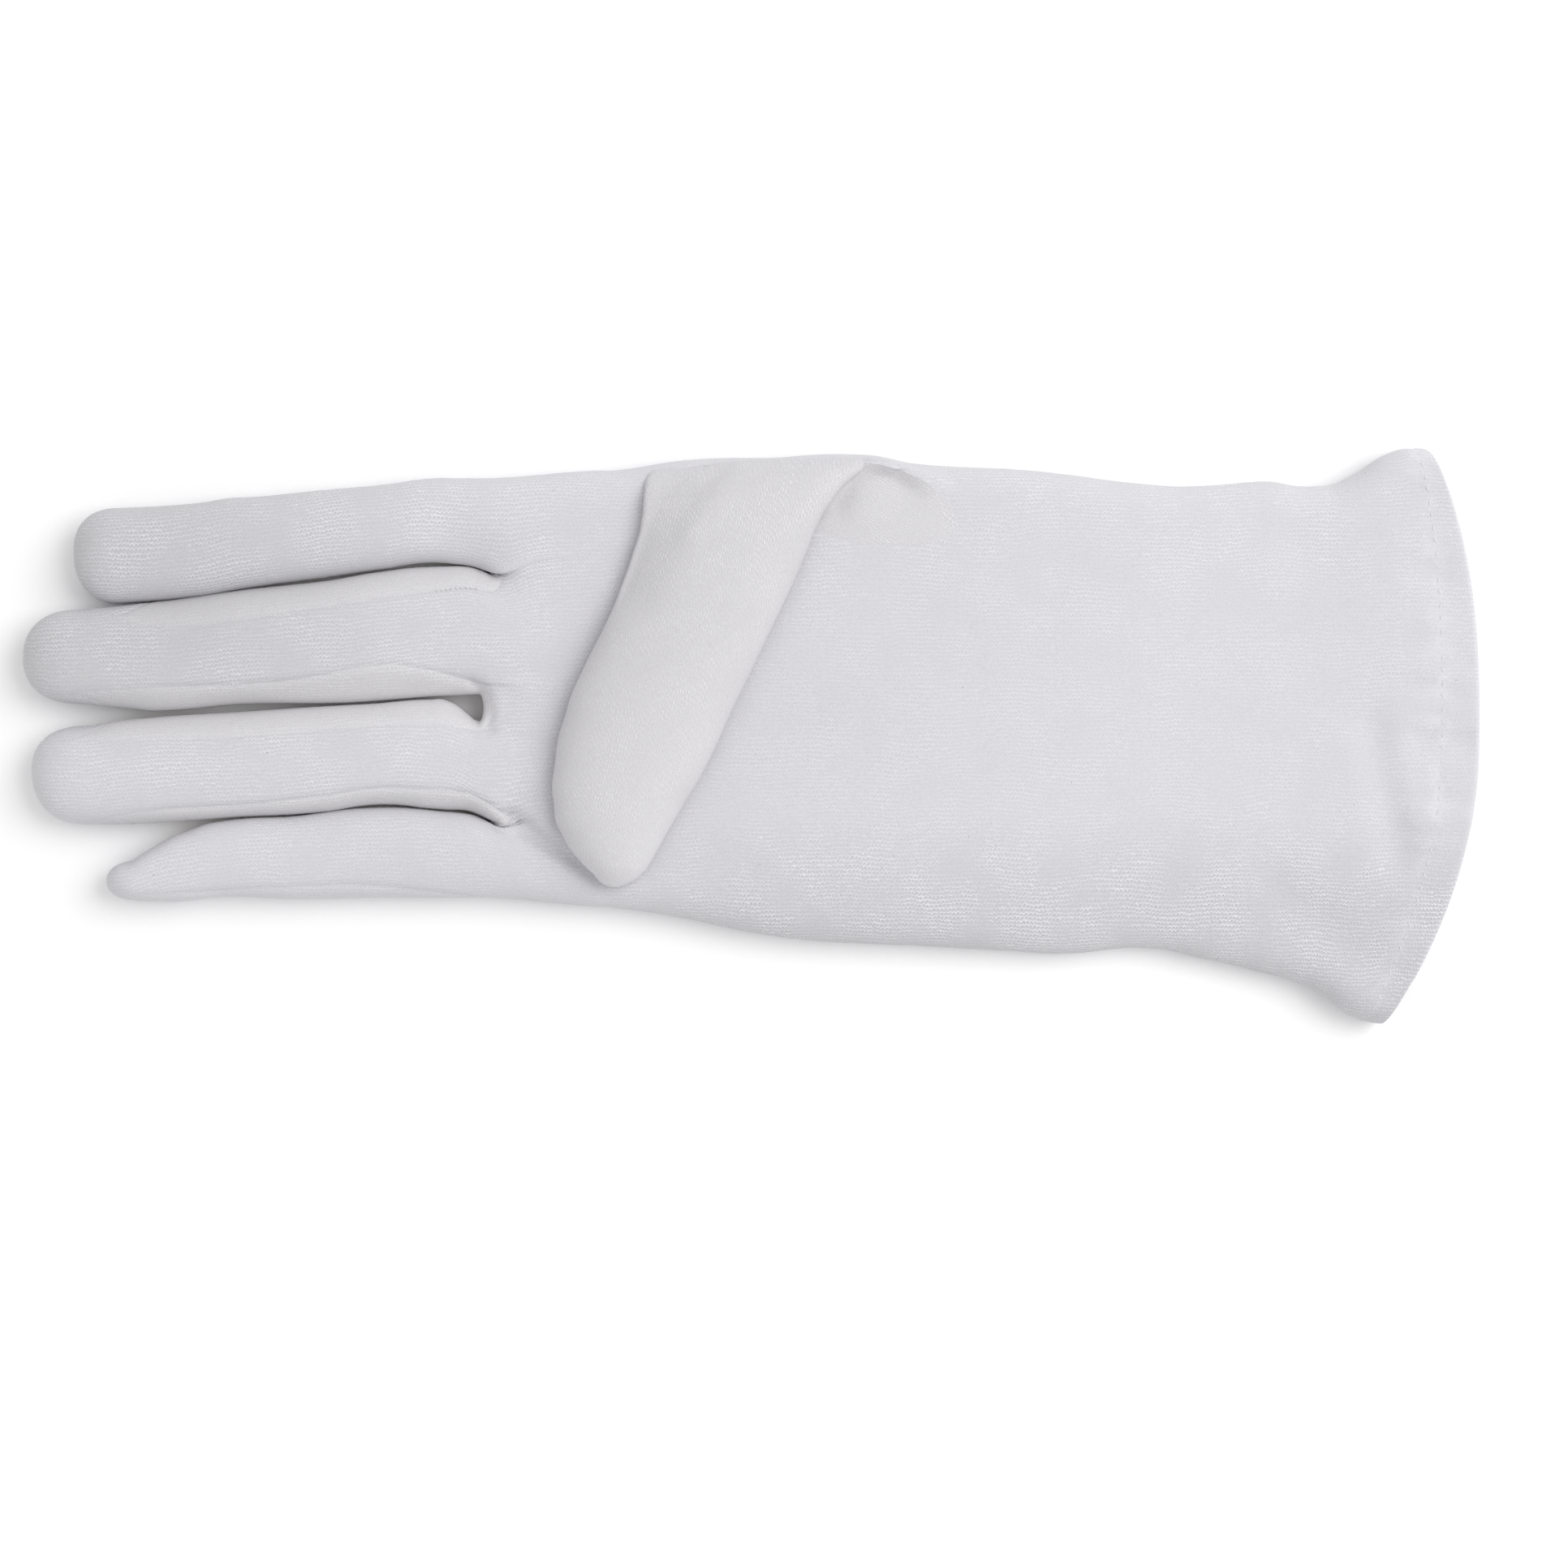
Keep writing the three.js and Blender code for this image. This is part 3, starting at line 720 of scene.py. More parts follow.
def turn_in(bm):
    """Extrudes every open edge inwards, as a seam allowance that hangs down at the thumb hole."""
    bm.normal_update()
    rim = [edge for edge in bm.edges if edge.is_boundary]
    inwards = {}
    for vert in (vert for edge in rim for vert in edge.verts):
        hanging = ease(vert.normal.z / LYING_FLAT) if by_thumb_hole(vert.co) else 0.0
        inwards[vert] = (-vert.normal).lerp(DOWN, hanging) * ALLOWANCE
    for edge in rim:
        edge.smooth = False
    made = bmesh.ops.extrude_edge_only(bm, edges=rim)
    for vert in (item for item in made["geom"] if isinstance(item, bmesh.types.BMVert)):
        parent = next(edge.other_vert(vert) for edge in vert.link_edges if edge.other_vert(vert) in inwards)
        vert.co += inwards[parent]


print("seam allowance:", ALLOWANCE, "mm")

# %% Finish a piece of cloth
CLOTH = 0.9            # thickness of the cloth
WELD = 0.02            # points closer than this become one


def clean(bm, outward):
    """Welds a piece and turns its faces outwards, by a rough outward direction at each place."""
    bmesh.ops.remove_doubles(bm, verts=bm.verts, dist=WELD)
    loose = [vert for vert in bm.verts if not vert.link_faces]
    bmesh.ops.delete(bm, geom=loose, context="VERTS")
    bmesh.ops.recalc_face_normals(bm, faces=bm.faces)
    score = sum(face.normal.dot(outward(face.calc_center_median())) * face.calc_area() for face in bm.faces)
    if score < 0:
        bmesh.ops.reverse_faces(bm, faces=bm.faces)


def neaten(bm, outward, roll=panel_roll):
    clean(bm, outward)
    roll_edges(bm, roll)
    turn_in(bm)


def to_object(bm, name, *materials):
    """Brings a mesh to metres and makes it a smooth object."""
    bmesh.ops.scale(bm, vec=(MM, MM, MM), verts=bm.verts)
    for face in bm.faces:
        face.smooth = True
    mesh = bpy.data.meshes.new(name)
    bm.to_mesh(mesh)
    bm.free()
    for material in materials:
        mesh.materials.append(material)
    piece = bpy.data.objects.new(name, mesh)
    bpy.context.collection.objects.link(piece)
    return piece


def to_cloth(bm, name, *materials, thickness=CLOTH):
    """An object of cloth that gets its thickness on the inside."""
    piece = to_object(bm, name, *materials)
    wall = piece.modifiers.new("cloth thickness", "SOLIDIFY")
    wall.thickness = thickness * MM
    wall.offset = -1.0
    wall.use_rim = True
    area = sum(face.area for face in piece.data.polygons) * 1e4
    print(name + ":", len(piece.data.polygons), "faces,", round(area, 1), "square cm")
    return piece


print("cloth", CLOTH, "mm thick")

# %% [markdown]
# ## The knit
#
# Fine cotton jersey shows thin bright lines, the wales, about 0.85 mm apart. Each line is a row of
# loops, so it swings from side to side with every stitch, and beside each loop there is a small
# dark opening. A bitmap would repeat and blur, so the pattern is worked out from the cloth's own UV
# map in millimetres. Slow noise bends the wales and makes them fade and return, white noise gives
# each wale its own start, and fine noise adds the fuzz of the yarn.
#
# So many sums are hard to read as nodes. Here a wire stands for what a node gives out, and the usual
# signs between wires and numbers add the Math nodes.

# %% Wires between nodes
class Wire:
    """What a node gives out, to be worked with like a number."""

    def __init__(self, tree, socket):
        self.tree = tree
        self.socket = socket

    def beside(self, output):
        """Another output of the same node."""
        return Wire(self.tree, self.socket.node.outputs[output])

    def calc(self, operation, *others):
        return add_node(self.tree, "ShaderNodeMath", 0, enumerate((self, *others)), operation=operation)

    def between(self, low, high, start, end):
        """Goes from start to end while this goes from low to high."""
        return add_node(self.tree, "ShaderNodeMapRange", "Result", enumerate((self, low, high, start, end)))

    def __add__(self, other):
        return self.calc("ADD", other)

    def __sub__(self, other):
        return self.calc("SUBTRACT", other)

    def __mul__(self, other):
        return self.calc("MULTIPLY", other)

    def __truediv__(self, other):
        return self.calc("DIVIDE", other)

    def __rsub__(self, number):
        return add_node(self.tree, "ShaderNodeMath", 0, enumerate((number, self)), operation="SUBTRACT")


def fill(tree, node, inputs):
    """Gives a node's inputs their numbers or colours, or the wires that lead to them."""
    for key, value in inputs:
        if isinstance(value, Wire):
            tree.links.new(value.socket, node.inputs[key])
        else:
            node.inputs[key].default_value = value


def add_node(tree, kind, output, inputs=(), **settings):
    """Adds a node and gives the wire from one of its outputs."""
    node = tree.nodes.new(kind)
    for setting, value in settings.items():
        setattr(node, setting, value)
    fill(tree, node, inputs)
    return Wire(tree, node.outputs[output])


def new_material(name):
    """A new material with its node tree and its shader."""
    material = bpy.data.materials.new(name)
    material.use_nodes = True
    return material, material.node_tree, material.node_tree.nodes["Principled BSDF"]


def soft_noise(vector, scale, detail):
    inputs = (("Vector", vector), ("Scale", scale), ("Detail", detail))
    return add_node(vector.tree, "ShaderNodeTexNoise", "Fac", inputs)


def split(vector):
    """The three numbers of a vector."""
    first = add_node(vector.tree, "ShaderNodeSeparateXYZ", "X", (("Vector", vector),))
    return first, first.beside("Y"), first.beside("Z")


def white_noise(key, value, dimensions):
    """A value of its own for every number or pair of numbers."""
    kind = "ShaderNodeTexWhiteNoise"
    return add_node(value.tree, kind, "Value", ((key, value),), noise_dimensions=dimensions)


PEAK_POWER = 1.4       # how pointed a peak is


def peak(value, width):
    """1 where the value is 0, down to 0 at a width to either side."""
    slope = 1.0 - value.calc("ABSOLUTE") / width
    return slope.calc("MAXIMUM", 0.0).calc("POWER", PEAK_POWER)


print("wires ready")

# %% Loops of the knit
WALE = 0.85            # distance between two wales
COURSE = 0.8           # length of one stitch along a wale
YARN_WIDTH = 0.34      # half width of the bright line, as a share of a wale
LOOP_SWING = 0.12      # how far it swings to either side, as a share of a wale
LEG_SWING = 0.6        # and how far it crosses the wale where the loops lie aslant
OPENING_OFF = 0.2      # where the opening lies beside the line, as a share of a wale
OPENING_WIDTH = 0.26
OPENING_POWER = 1.6    # how short the opening is along its stitch
WANDER = (0.045, 3.5)  # scale and reach of the noise that bends the wales
JITTER = (0.55, 0.9)   # and of the one that puts every stitch a little out of line
BREAK_SCALE = 0.9      # scale of the noise that breaks the yarn's lines


def loops(uv, size, slant):
    """Bright yarn and dark opening of the loops, from 0 to 1.

    The size is the distance between wales and the length of a stitch. A slant of 0 shows each loop
    as a scallop, and one of 1 as a leg that lies aslant.
    """
    u, v, _ = split(uv)
    wander, jitter = ((soft_noise(uv, scale, 2) - 0.5) * reach for scale, reach in (WANDER, JITTER))
    across = (v + wander + jitter) / size[0]
    wale = across.calc("FLOOR")
    off = across - wale - 0.5
    stitch = (u + jitter) / size[1] + white_noise("W", wale, "1D")
    row = stitch.calc("FLOOR")
    swing = (stitch * (2 * math.pi)).calc("COSINE")
    aslant = (stitch - row - 0.5) * (LEG_SWING * slant)
    line = peak(off - (swing * (-LOOP_SWING * (1 - slant)) + aslant), YARN_WIDTH)

    # every loop has a brightness of its own, and one that lies aslant dips under at its ends
    loop = add_node(uv.tree, "ShaderNodeCombineXYZ", "Vector", (("X", wale), ("Y", row)))
    own = white_noise("Vector", loop, "2D").between(0.0, 1.0, 0.7, 1.2)
    arc = (stitch * math.pi).calc("SINE").calc("ABSOLUTE")
    broken = soft_noise(uv, BREAK_SCALE, 1).between(0.3, 0.6, 0.45, 1.0)
    yarn = line * own * (1.0 - (1.0 - arc) * slant) * broken
    middle = (swing * -1.0).calc("MAXIMUM", 0.0).calc("POWER", OPENING_POWER)
    return yarn, peak(off + OPENING_OFF, OPENING_WIDTH) * middle


print("about", round(1000 / (WALE * COURSE)), "loops in 10 square cm")

# %% Knit material
HEM_BAND = 4.0         # half width of the whiter band over the hem's stitches
HEM_COVER = 0.6        # how far its cotton hides the knit
LINT_SCALE = 0.05      # cells to the millimetre; each may hold a speck of lint
LINT_CHANCE = 0.3      # share of the cells that do
LINT_SIZE = 0.14       # radius of a speck
LINT_DARKNESS = 0.35
RELIEF = 0.09          # height of the knit's relief
FUZZ = 0.24            # differences in tone: the yarn's fuzz
CLOUD = 0.05           # slow clouds
WHITER_HEM = 0.1       # the doubled cloth at the hem's stitches
PAINTED_LIGHT_CUFF = 0.02     # painted light: the middle of the cuff a shade lighter
PAINTED_SHADE_LOW_CUFF = 0.11     # painted shade on the cuff's low side, where it slopes down to its edge
PAINTED_TIP_SHADE = 0.14         # painted shade on the index and middle fingers, darker towards their tips


def knit(name, colour, lines, openings, deep=None, slant=0.0, size=(WALE, COURSE), shaded=0.0):
    """Jersey of a colour; lines and openings are contrasts, deep is the painted shade colour of the lowest
    cloth, near the table.

    Shaded is how much darker the cloth is by the index side's edge than over the middle of the palm.
    """
    material, tree, shader = new_material(name)
    uv = add_node(tree, "ShaderNodeUVMap", "UV", uv_map="cloth")
    u, v, _ = split(uv)
    place = add_node(tree, "ShaderNodeTexCoord", "Object")
    x, y, z = split(place)

    # the knit shows more on the cuff's low side, on the fingers and towards the index side, fades and
    # returns, and hides at the hem's stitches
    low_cuff = v.between(-16, -34, 0.0, 1.1) * u.between(-30, 0, 0.0, 1.0)
    fingers = u.between(-60, -20, 0.45, 0.0) * v.between(-26, -14, 0.2, 1.0)
    index_side = v.between(18, 40, 0.62, 0.9)
    faded = soft_noise(uv, 0.1, 3).between(0.36, 0.62, 0.2, 1.0)
    hem = peak(u - HEM_LINE, HEM_BAND) * soft_noise(uv, 0.2, 2).between(0.4, 0.6, 0.15, 1.0)
    shows = faded * (low_cuff + fingers + index_side) * (1.0 - hem * HEM_COVER)
    yarn, opening = (part * shows for part in loops(uv, size, slant))

    # the tone of each place
    fuzz = soft_noise(place, 2600, 3)
    # painted light: the middle of the cuff is a shade lighter
    painted_light_cuff_middle = x.between(0.045, 0.085, 0.0, 1.0) * y.between(-0.03, -0.005, 0.0, 1.0)
    # painted shade: the index and middle fingers darken towards their tips
    painted_tip_shade = x.between(-0.110, -0.045, 1.0, 0.0) * y.between(-0.006, 0.018, 0.0, 1.0)
    tone = yarn * lines + 1.0 - opening * openings
    tone = tone + (fuzz - 0.5) * FUZZ + (soft_noise(place, 42, 2) - 0.5) * CLOUD
    # painted shade darkens the cuff's low side, where it slopes down to its edge
    tone = tone + hem * WHITER_HEM - low_cuff * PAINTED_SHADE_LOW_CUFF + painted_light_cuff_middle * PAINTED_LIGHT_CUFF - painted_tip_shade * PAINTED_TIP_SHADE
    if shaded:
        tone = tone - y.between(-0.020, 0.045, -shaded, shaded)

    # a few specks of lint lie about
    inputs = (("Vector", uv), ("Scale", LINT_SCALE))
    speck = add_node(tree, "ShaderNodeTexVoronoi", "Distance", inputs, voronoi_dimensions="2D")
    chance, _, _ = split(speck.beside("Color"))
    lint = speck.calc("LESS_THAN", LINT_SIZE * LINT_SCALE) * chance.calc("LESS_THAN", LINT_CHANCE)
    tone = tone * (1.0 - lint * LINT_DARKNESS)

    # painted shade: the lowest cloth between the fingers is darker and warmer
    low = z.between(0.002, 0.0055, 0.0, 1.0)
    inputs = (("Factor", low), ("A", (*(deep or colour), 1.0)), ("B", (*colour, 1.0)))
    painted_gap_shade = add_node(tree, "ShaderNodeMix", "Result", inputs, data_type="RGBA")
    inputs = (("Factor", 1.0), ("A", painted_gap_shade), ("B", tone))
    toned = add_node(tree, "ShaderNodeMix", "Result", inputs, data_type="RGBA", blend_type="MULTIPLY")

    height = yarn * 0.8 + fuzz * 0.5 - opening * 0.5
    inputs = (("Strength", 0.5), ("Distance", RELIEF * MM), ("Height", height))
    fill(tree, shader, (
        ("Base Color", toned), ("Normal", add_node(tree, "ShaderNodeBump", "Normal", inputs)),
        ("Roughness", 0.95), ("Specular IOR Level", 0.15), ("Sheen Weight", 0.15), ("Sheen Roughness", 0.6),
    ))
    print("material", name)
    return material


COTTON = knit("white cotton jersey", (0.604, 0.596, 0.620), lines=0.27, openings=0.15)
THUMB_COTTON = knit(
    "thumb cotton jersey", (0.592, 0.582, 0.600), lines=0.46, openings=0.24,
    slant=0.8, size=(0.6, 1.15), shaded=0.035,
)
GUSSET_COTTON = knit(
    "gusset cotton jersey", (0.606, 0.596, 0.612), lines=0.24, openings=0.15, size=(0.6, 0.7),
)
# the strips carry painted shade, dark and warm, on their lowest cloth between the fingers
STRIP_COTTON = knit(
    "strip cotton jersey", (0.634, 0.624, 0.640), lines=0.2, openings=0.17, deep=(0.4, 0.35, 0.32),
)

# %% [markdown]
# ## The thumb hole
#
# The thumb is sewn into an opening at the index edge of the palm. On the plan it is one closed
# outline. Of each edge of the grid that crosses it, the nearer end is moved onto it, and then the
# faces inside are taken out, which leaves a clean edge without a boolean.

# %% Thumb hole
THUMB_HOLE = [
    (-17.0, 52.4), (-19.4, 50.4), (-18.5, 46.5), (-13, 44), (-3, 43), (10, 42.4), (14, 40.5),
    (19, 38.6), (25, 37.8), (33, 37.9), (38.5, 39.2), (41.4, 41.2), (41.4, 43.0), (39.8, 46.0),
    (37.4, 48.6), (34.0, 51.0), (30.2, 52.7), (26.0, 53.9), (20.0, 54.6), (10.0, 54.3), (-4.0, 53.6),
]
HOLE_MARGIN = 3.0      # width round the outline in which the grid is made of triangles
SLIVER = 0.02          # square mm; no face may become smaller than that, seen from above


def sides_of(outline):
    return zip(outline, [*outline[1:], outline[0]])


def nearest_on(outline, place):
    """Distance of a place from a closed outline, and the nearest point on it."""
    found = []
    for start, end in sides_of(outline):
        off, share = line_distance(start, end, place.x, place.y)
        found.append((off, (lerp(start[0], end[0], share), lerp(start[1], end[1], share))))
    return min(found)


def inside(outline, place):
    """Whether a place lies inside a closed outline."""
    crossings = sum(
        (y1 > place.y) != (y2 > place.y) and place.x < x1 + (place.y - y1) / (y2 - y1) * (x2 - x1)
        for (x1, y1), (x2, y2) in sides_of(outline)
    )
    return crossings % 2 == 1


def plan_area(corners):
    """Area of a polygon seen from above; minus if its corners run clockwise."""
    return sum(a.x * b.y - b.x * a.y for a, b in sides_of(corners)) / 2


def stays_open(vert, near):
    """Whether a vertex can move to a place without turning over or closing a face."""
    moved = Vector((*near, vert.co.z))
    for face in vert.link_faces:
        before = plan_area([corner.co for corner in face.verts])
        after = plan_area([moved if corner == vert else corner.co for corner in face.verts])
        if before * after <= 0 or abs(after) < SLIVER:
            return False
    return True


def take_out(bm, unwanted):
    """Deletes the faces whose middle passes a test."""
    gone = [face for face in bm.faces if unwanted(face.calc_center_median())]
    bmesh.ops.delete(bm, geom=gone, context="FACES")


def cut_along(bm, outline, keep_inside):
    """Fits a grid to an outline and keeps the faces on one side of it."""
    around = []
    for face in bm.faces:
        centre = face.calc_center_median()
        if by_thumb_hole(centre) and nearest_on(outline, centre)[0] < HOLE_MARGIN:
            around.append(face)
    cut = bmesh.ops.triangulate(bm, faces=around)
    edges = dict.fromkeys(edge for face in cut["faces"] for edge in face.edges)
    settled_on = set()
    for edge in edges:
        ends = [vert for vert in edge.verts if vert not in settled_on]
        sides = [inside(outline, vert.co) for vert in edge.verts]
        if len(ends) == 2 and sides[0] != sides[1]:
            reach = [(nearest_on(outline, vert.co), vert) for vert in ends]
            for (_, near), vert in sorted(reach, key=lambda item: item[0][0]):
                if stays_open(vert, near):
                    vert.co.x, vert.co.y = near
                    settled_on.add(vert)
                    break
    take_out(bm, lambda centre: inside(outline, centre) != keep_inside)


print("thumb hole:", len(THUMB_HOLE), "points")

# %% [markdown]
# ## The palm panel
#
# One piece of jersey: four finger grids and the hand's grid, welded along the roots of the
# fingers, with the thumb hole cut out.

# %% Palm panel
def panel(face):
    """Mesh of a whole panel, palm or back, in millimetres."""
    bm = bmesh.new()
    for name in ORDER:
        lay_grid(bm, [[cell[:2] for cell in finger_row(name, face, x)] for x in finger_stations(name)])
    cells = PALM_CELLS if face == "palm" else BACK_CELLS
    lay_grid(bm, [hand_cells(cells, face, x) for x in even(ROOT, HEM_LINE, HAND_SPACING)])
    return bm


palm_bm = panel("palm")
cut_along(palm_bm, THUMB_HOLE, keep_inside=False)
neaten(palm_bm, lambda place: UP)
palm = to_cloth(palm_bm, "knitted_palm", COTTON)

# %% Back panel
back_bm = panel("back")
neaten(back_bm, lambda place: DOWN)
back = to_cloth(back_bm, "knitted_back", COTTON)

# %% [markdown]
# ## The strips between the fingers
#
# Each strip is one grid: along the side of one finger to the crotch, round the U, and back along
# the other finger. Both its ends are points, where the upper and the lower seam meet.

# %% Rows of a strip
STRIP_SHARES = spread(9, [0.0, 0.03, 0.08])
STRIP_SAG = 0.4        # how far a strip sags between its upper seam and the edge of the finger
SAGS_FROM = HIDDEN_LIFT + 0.2  # upper seam's lift from which it does
SIDE_CLOTH = 0.8       # cloth across a strip for each radian, as a share of the finger's half width
TURN_CLOTH = 6.4       # the same round a crotch, in millimetres
TURN_LENGTH = 6.0      # cloth along a strip for each radian round a crotch


def strip_side(name, side, x, along):
    """A strip's row on the side of a finger."""
    section = finger_at(name, x)
    upper, lower = seam_lifts(name, side, x)
    row = []
    for share in STRIP_SHARES:
        lift = lerp(upper, lower, share)
        y, z = round_section(section, lift if side == "high" else math.pi - lift)
        if upper > SAGS_FROM:
            z -= STRIP_SAG * math.sin(math.pi * clamp(lift / upper))
        row.append(((x, y, z), (along, lift * section["half"] * SIDE_CLOTH)))
    return row


def strip_turn(strip, turn):
    """A strip's row part of the way round its crotch."""
    upper, lower = turn_lifts(strip, turn)
    lifts = [lerp(upper, lower, share) for share in STRIP_SHARES]
    along = ROOT + TURN_LENGTH * turn
    return [(turn_place(strip, turn, lift), (along, lift * TURN_CLOTH)) for lift in lifts]


def fourchette(strip):
    """Mesh of a strip: along one finger, round the crotch and back along the other."""
    above, below = CROTCHES[strip]["above"], CROTCHES[strip]["below"]
    there = even(SIDE_SEAMS[(above, "low")][1], ROOT, ROW_SPACING)
    back_again = even(SIDE_SEAMS[(below, "high")][1], ROOT, ROW_SPACING)[::-1]
    length = 2 * ROOT + TURN_LENGTH * math.pi
    rows = [strip_side(above, "low", x, x) for x in there]
    rows += [strip_turn(strip, turn) for turn in TURNS]
    rows += [strip_side(below, "high", x, length - x) for x in back_again]
    bm = bmesh.new()
    lay_grid(bm, rows)
    return bm


print("cells across a strip:", len(STRIP_SHARES))

# %% Fourchettes
def towards_gap(crotch, place):
    """Rough outward direction of a strip: from its finger towards the middle of the gap."""
    above = finger_at(crotch["above"], min(place.x, ROOT))
    below = finger_at(crotch["below"], min(place.x, ROOT))
    line = (above["middle"] - above["half"] + below["middle"] + below["half"]) / 2
    return Vector((0, 1 if place.y < line else -1, 0))


strips = {}
for strip_name, crotch in CROTCHES.items():
    strip_bm = fourchette(strip_name)
    neaten(strip_bm, lambda place, crotch=crotch: towards_gap(crotch, place), strip_roll)
    strips[strip_name] = to_cloth(strip_bm, "strip_" + strip_name, STRIP_COTTON)

# %% [markdown]
# ## The thumb
#
# The thumb piece wraps round into a tube with one seam, which lies along its left edge. It leaves
# the hand at the index edge, folds over it and lies across the palm. Its rows run across, from the
# tip to the fold. In the fold its underside is open to the hand.

# %% Thumb
THUMB = [
    # y, left edge, right edge, underside, top
    (-30.2, -27.8, -26.4, 10.9, 13.6), (-29.4, -29.6, -24.2, 10.9, 15.0), (-27.6, -31.2, -21.6, 10.9, 16.8),
    (-25.5, -33.4, -20.0, 10.9, 18.0), (-20, -37.3, -16.9, 10.9, 19.4), (-14, -39.0, -13.4, 10.9, 20.2),
    (-6, -38.9, -8.7, 10.9, 20.6), (4, -36.8, -4.1, 10.9, 20.8),
    (13, -33.3, 0.3, 10.9, 20.8), (22, -28.8, 4.6, 10.9, 20.8),
    (30, -25.5, 8.4, 10.9, 20.4), (37, -23.1, 11.4, 10.9, 19.8), (42.4, -21.6, 13.6, 10.2, 19.0),
    (47, -21.2, 16.4, 8.6, 17.6), (50, -21.0, 18.8, 7.0, 16.2), (52.6, -20.8, 21.9, 5.4, 14.2),
    (54.2, -20.3, 23.4, 4.6, 12.2), (55.2, -19.7, 24.2, 4.0, 10.4), (55.8, -19.0, 24.4, 3.6, 8.8),
    (56.2, -18.4, 24.2, 3.2, 7.2), (56.45, -17.8, 23.6, 3.0, 5.8), (56.6, -17.0, 22.6, 2.8, 4.4),
]
ROOT_TILT = 0.042      # the fold of the thumb's root runs a little aslant
THUMB_LINES = [column(THUMB, which) for which in range(1, 5)]
THUMB_POWER = 2.15     # roundness of its section
LYING_EDGE = 0.18      # height of its widest line where it lies on the palm, as a share
RAISED_EDGE = 0.44     # and in the fold
THUMB_FOLDS = [
    (((-14, 54), (-18, 45), (-24, 30)), 6.0, 1.9),         # the left side of the root sinks
    (((-2.0, 54), (-8, 47), (-12.5, 40)), 3.0, -0.45),     # the soft fold beside it
    (((-5.5, 54), (-11, 47), (-15, 41)), 2.2, 0.5),
]
THUMB_SEAM = math.radians(158)
THUMB_LEAN = math.radians(22.7)
THUMB_SHARES = spread(66, [0.0, 0.005, 0.012, 0.022])
THUMB_STEPS = 90       # straight steps in which its section is measured
THUMB_CAP = 9.0        # length of its round tip
THUMB_CAP_ROWS = 12
THUMB_ROLL_WIDTH = 1.2
EDGE_RISE = (38.0, 14.0)   # where the widest line starts to rise, and over which length
TILT_RISE = (44.0, 12.0)   # the same for the tilt of the fold
THUMB_LOOSE = 4.0      # height above the widest line over which the cloth comes to settle
TIP_HEIGHT = 0.3       # height of the very tip, as a share
OPEN_FROM = 43.5       # from here on the underside is open to the hand
OPEN_DEPTH = 2.0       # what is less than this above it counts as underside


def thumb_row(y):
    left, right, floor, top = (through(line, y) for line in THUMB_LINES)
    edge = lerp(floor, top, lerp(LYING_EDGE, RAISED_EDGE, ease((y - EDGE_RISE[0]) / EDGE_RISE[1])))
    section = {
        "middle": (left + right) / 2, "half": (right - left) / 2,
        "edge": edge, "rise": top - edge, "fall": edge - floor, "power": THUMB_POWER,
    }
    end = THUMB_SEAM - 2 * math.pi
    tilt = ROOT_TILT * ease((y - TILT_RISE[0]) / TILT_RISE[1])
    row = []
    for _, (x, z), wale in round_cells(section, THUMB_SEAM, end, math.pi / 2, THUMB_SHARES, THUMB_STEPS):
        z += ease((z - edge) / THUMB_LOOSE) * (swell(x, y, 5.0) - fold_depth(THUMB_FOLDS, x, y))
        row.append(((x, y + tilt * (x - right), z), (-y / math.cos(THUMB_LEAN), -wale)))
    return row


def thumb_outward(place):
    left, right, floor, top = (through(line, place.y) for line in THUMB_LINES)
    return place - Vector(((left + right) / 2, place.y, (floor + top) / 2))


def open_below(centre):
    return centre.y > OPEN_FROM and centre.z < through(THUMB_LINES[2], centre.y) + OPEN_DEPTH


tip_y, tip_left, tip_right, tip_floor, tip_top = THUMB[0]
thumb_tip = ((tip_left + tip_right) / 2, tip_y, lerp(tip_floor, tip_top, TIP_HEIGHT))
thumb_rows = [thumb_row(y) for y in from_tip(tip_y, THUMB_CAP, THUMB_CAP_ROWS, THUMB[-1][0], 1.0)]
thumb_rows[0] = [(thumb_tip, uv) for _, uv in thumb_rows[0]]
thumb_bm = bmesh.new()
lay_grid(thumb_bm, thumb_rows, settle=lambda *place: place)
take_out(thumb_bm, open_below)
clean(thumb_bm, thumb_outward)
roll_edges(thumb_bm, lambda place: ROLL_DEPTH, THUMB_ROLL_WIDTH)
print("thumb tube:", len(thumb_bm.faces), "faces")

# %% [markdown]
# The gusset is the flat part of the thumb piece that fills the rest of the hole. It is the same
# grid as the palm, kept inside the outline instead of outside it, less what lies under the thumb.
# Its cloth is finer and was cut aslant, so its map is turned.

# %% Gusset
GUSSET_TURN = Matrix.Rotation(math.radians(38), 2)
COVERED_FROM = 43.0    # from here on the gusset is left out under the thumb
COVERED_LEFT = 2.0     # this far in from the thumb's left edge
COVERED_RIGHT = 3.0    # and from its right one


def under_thumb(centre):
    left, right = (through(line, centre.y) for line in THUMB_LINES[:2])
    return centre.y > COVERED_FROM and left + COVERED_LEFT < centre.x < right - COVERED_RIGHT


gusset_bm = panel("palm")
cut_along(gusset_bm, THUMB_HOLE, keep_inside=True)
take_out(gusset_bm, under_thumb)
neaten(gusset_bm, lambda place: UP)
gusset_cloth = gusset_bm.loops.layers.uv["cloth"]
for face in gusset_bm.faces:
    face.material_index = 1
    for loop in face.loops:
        loop[gusset_cloth].uv.rotate(GUSSET_TURN)
gusset_mesh = bpy.data.meshes.new("gusset")
gusset_bm.to_mesh(gusset_mesh)
gusset_bm.free()
thumb_bm.from_mesh(gusset_mesh)
thumb = to_cloth(thumb_bm, "thumb_with_gusset", THUMB_COTTON, GUSSET_COTTON)

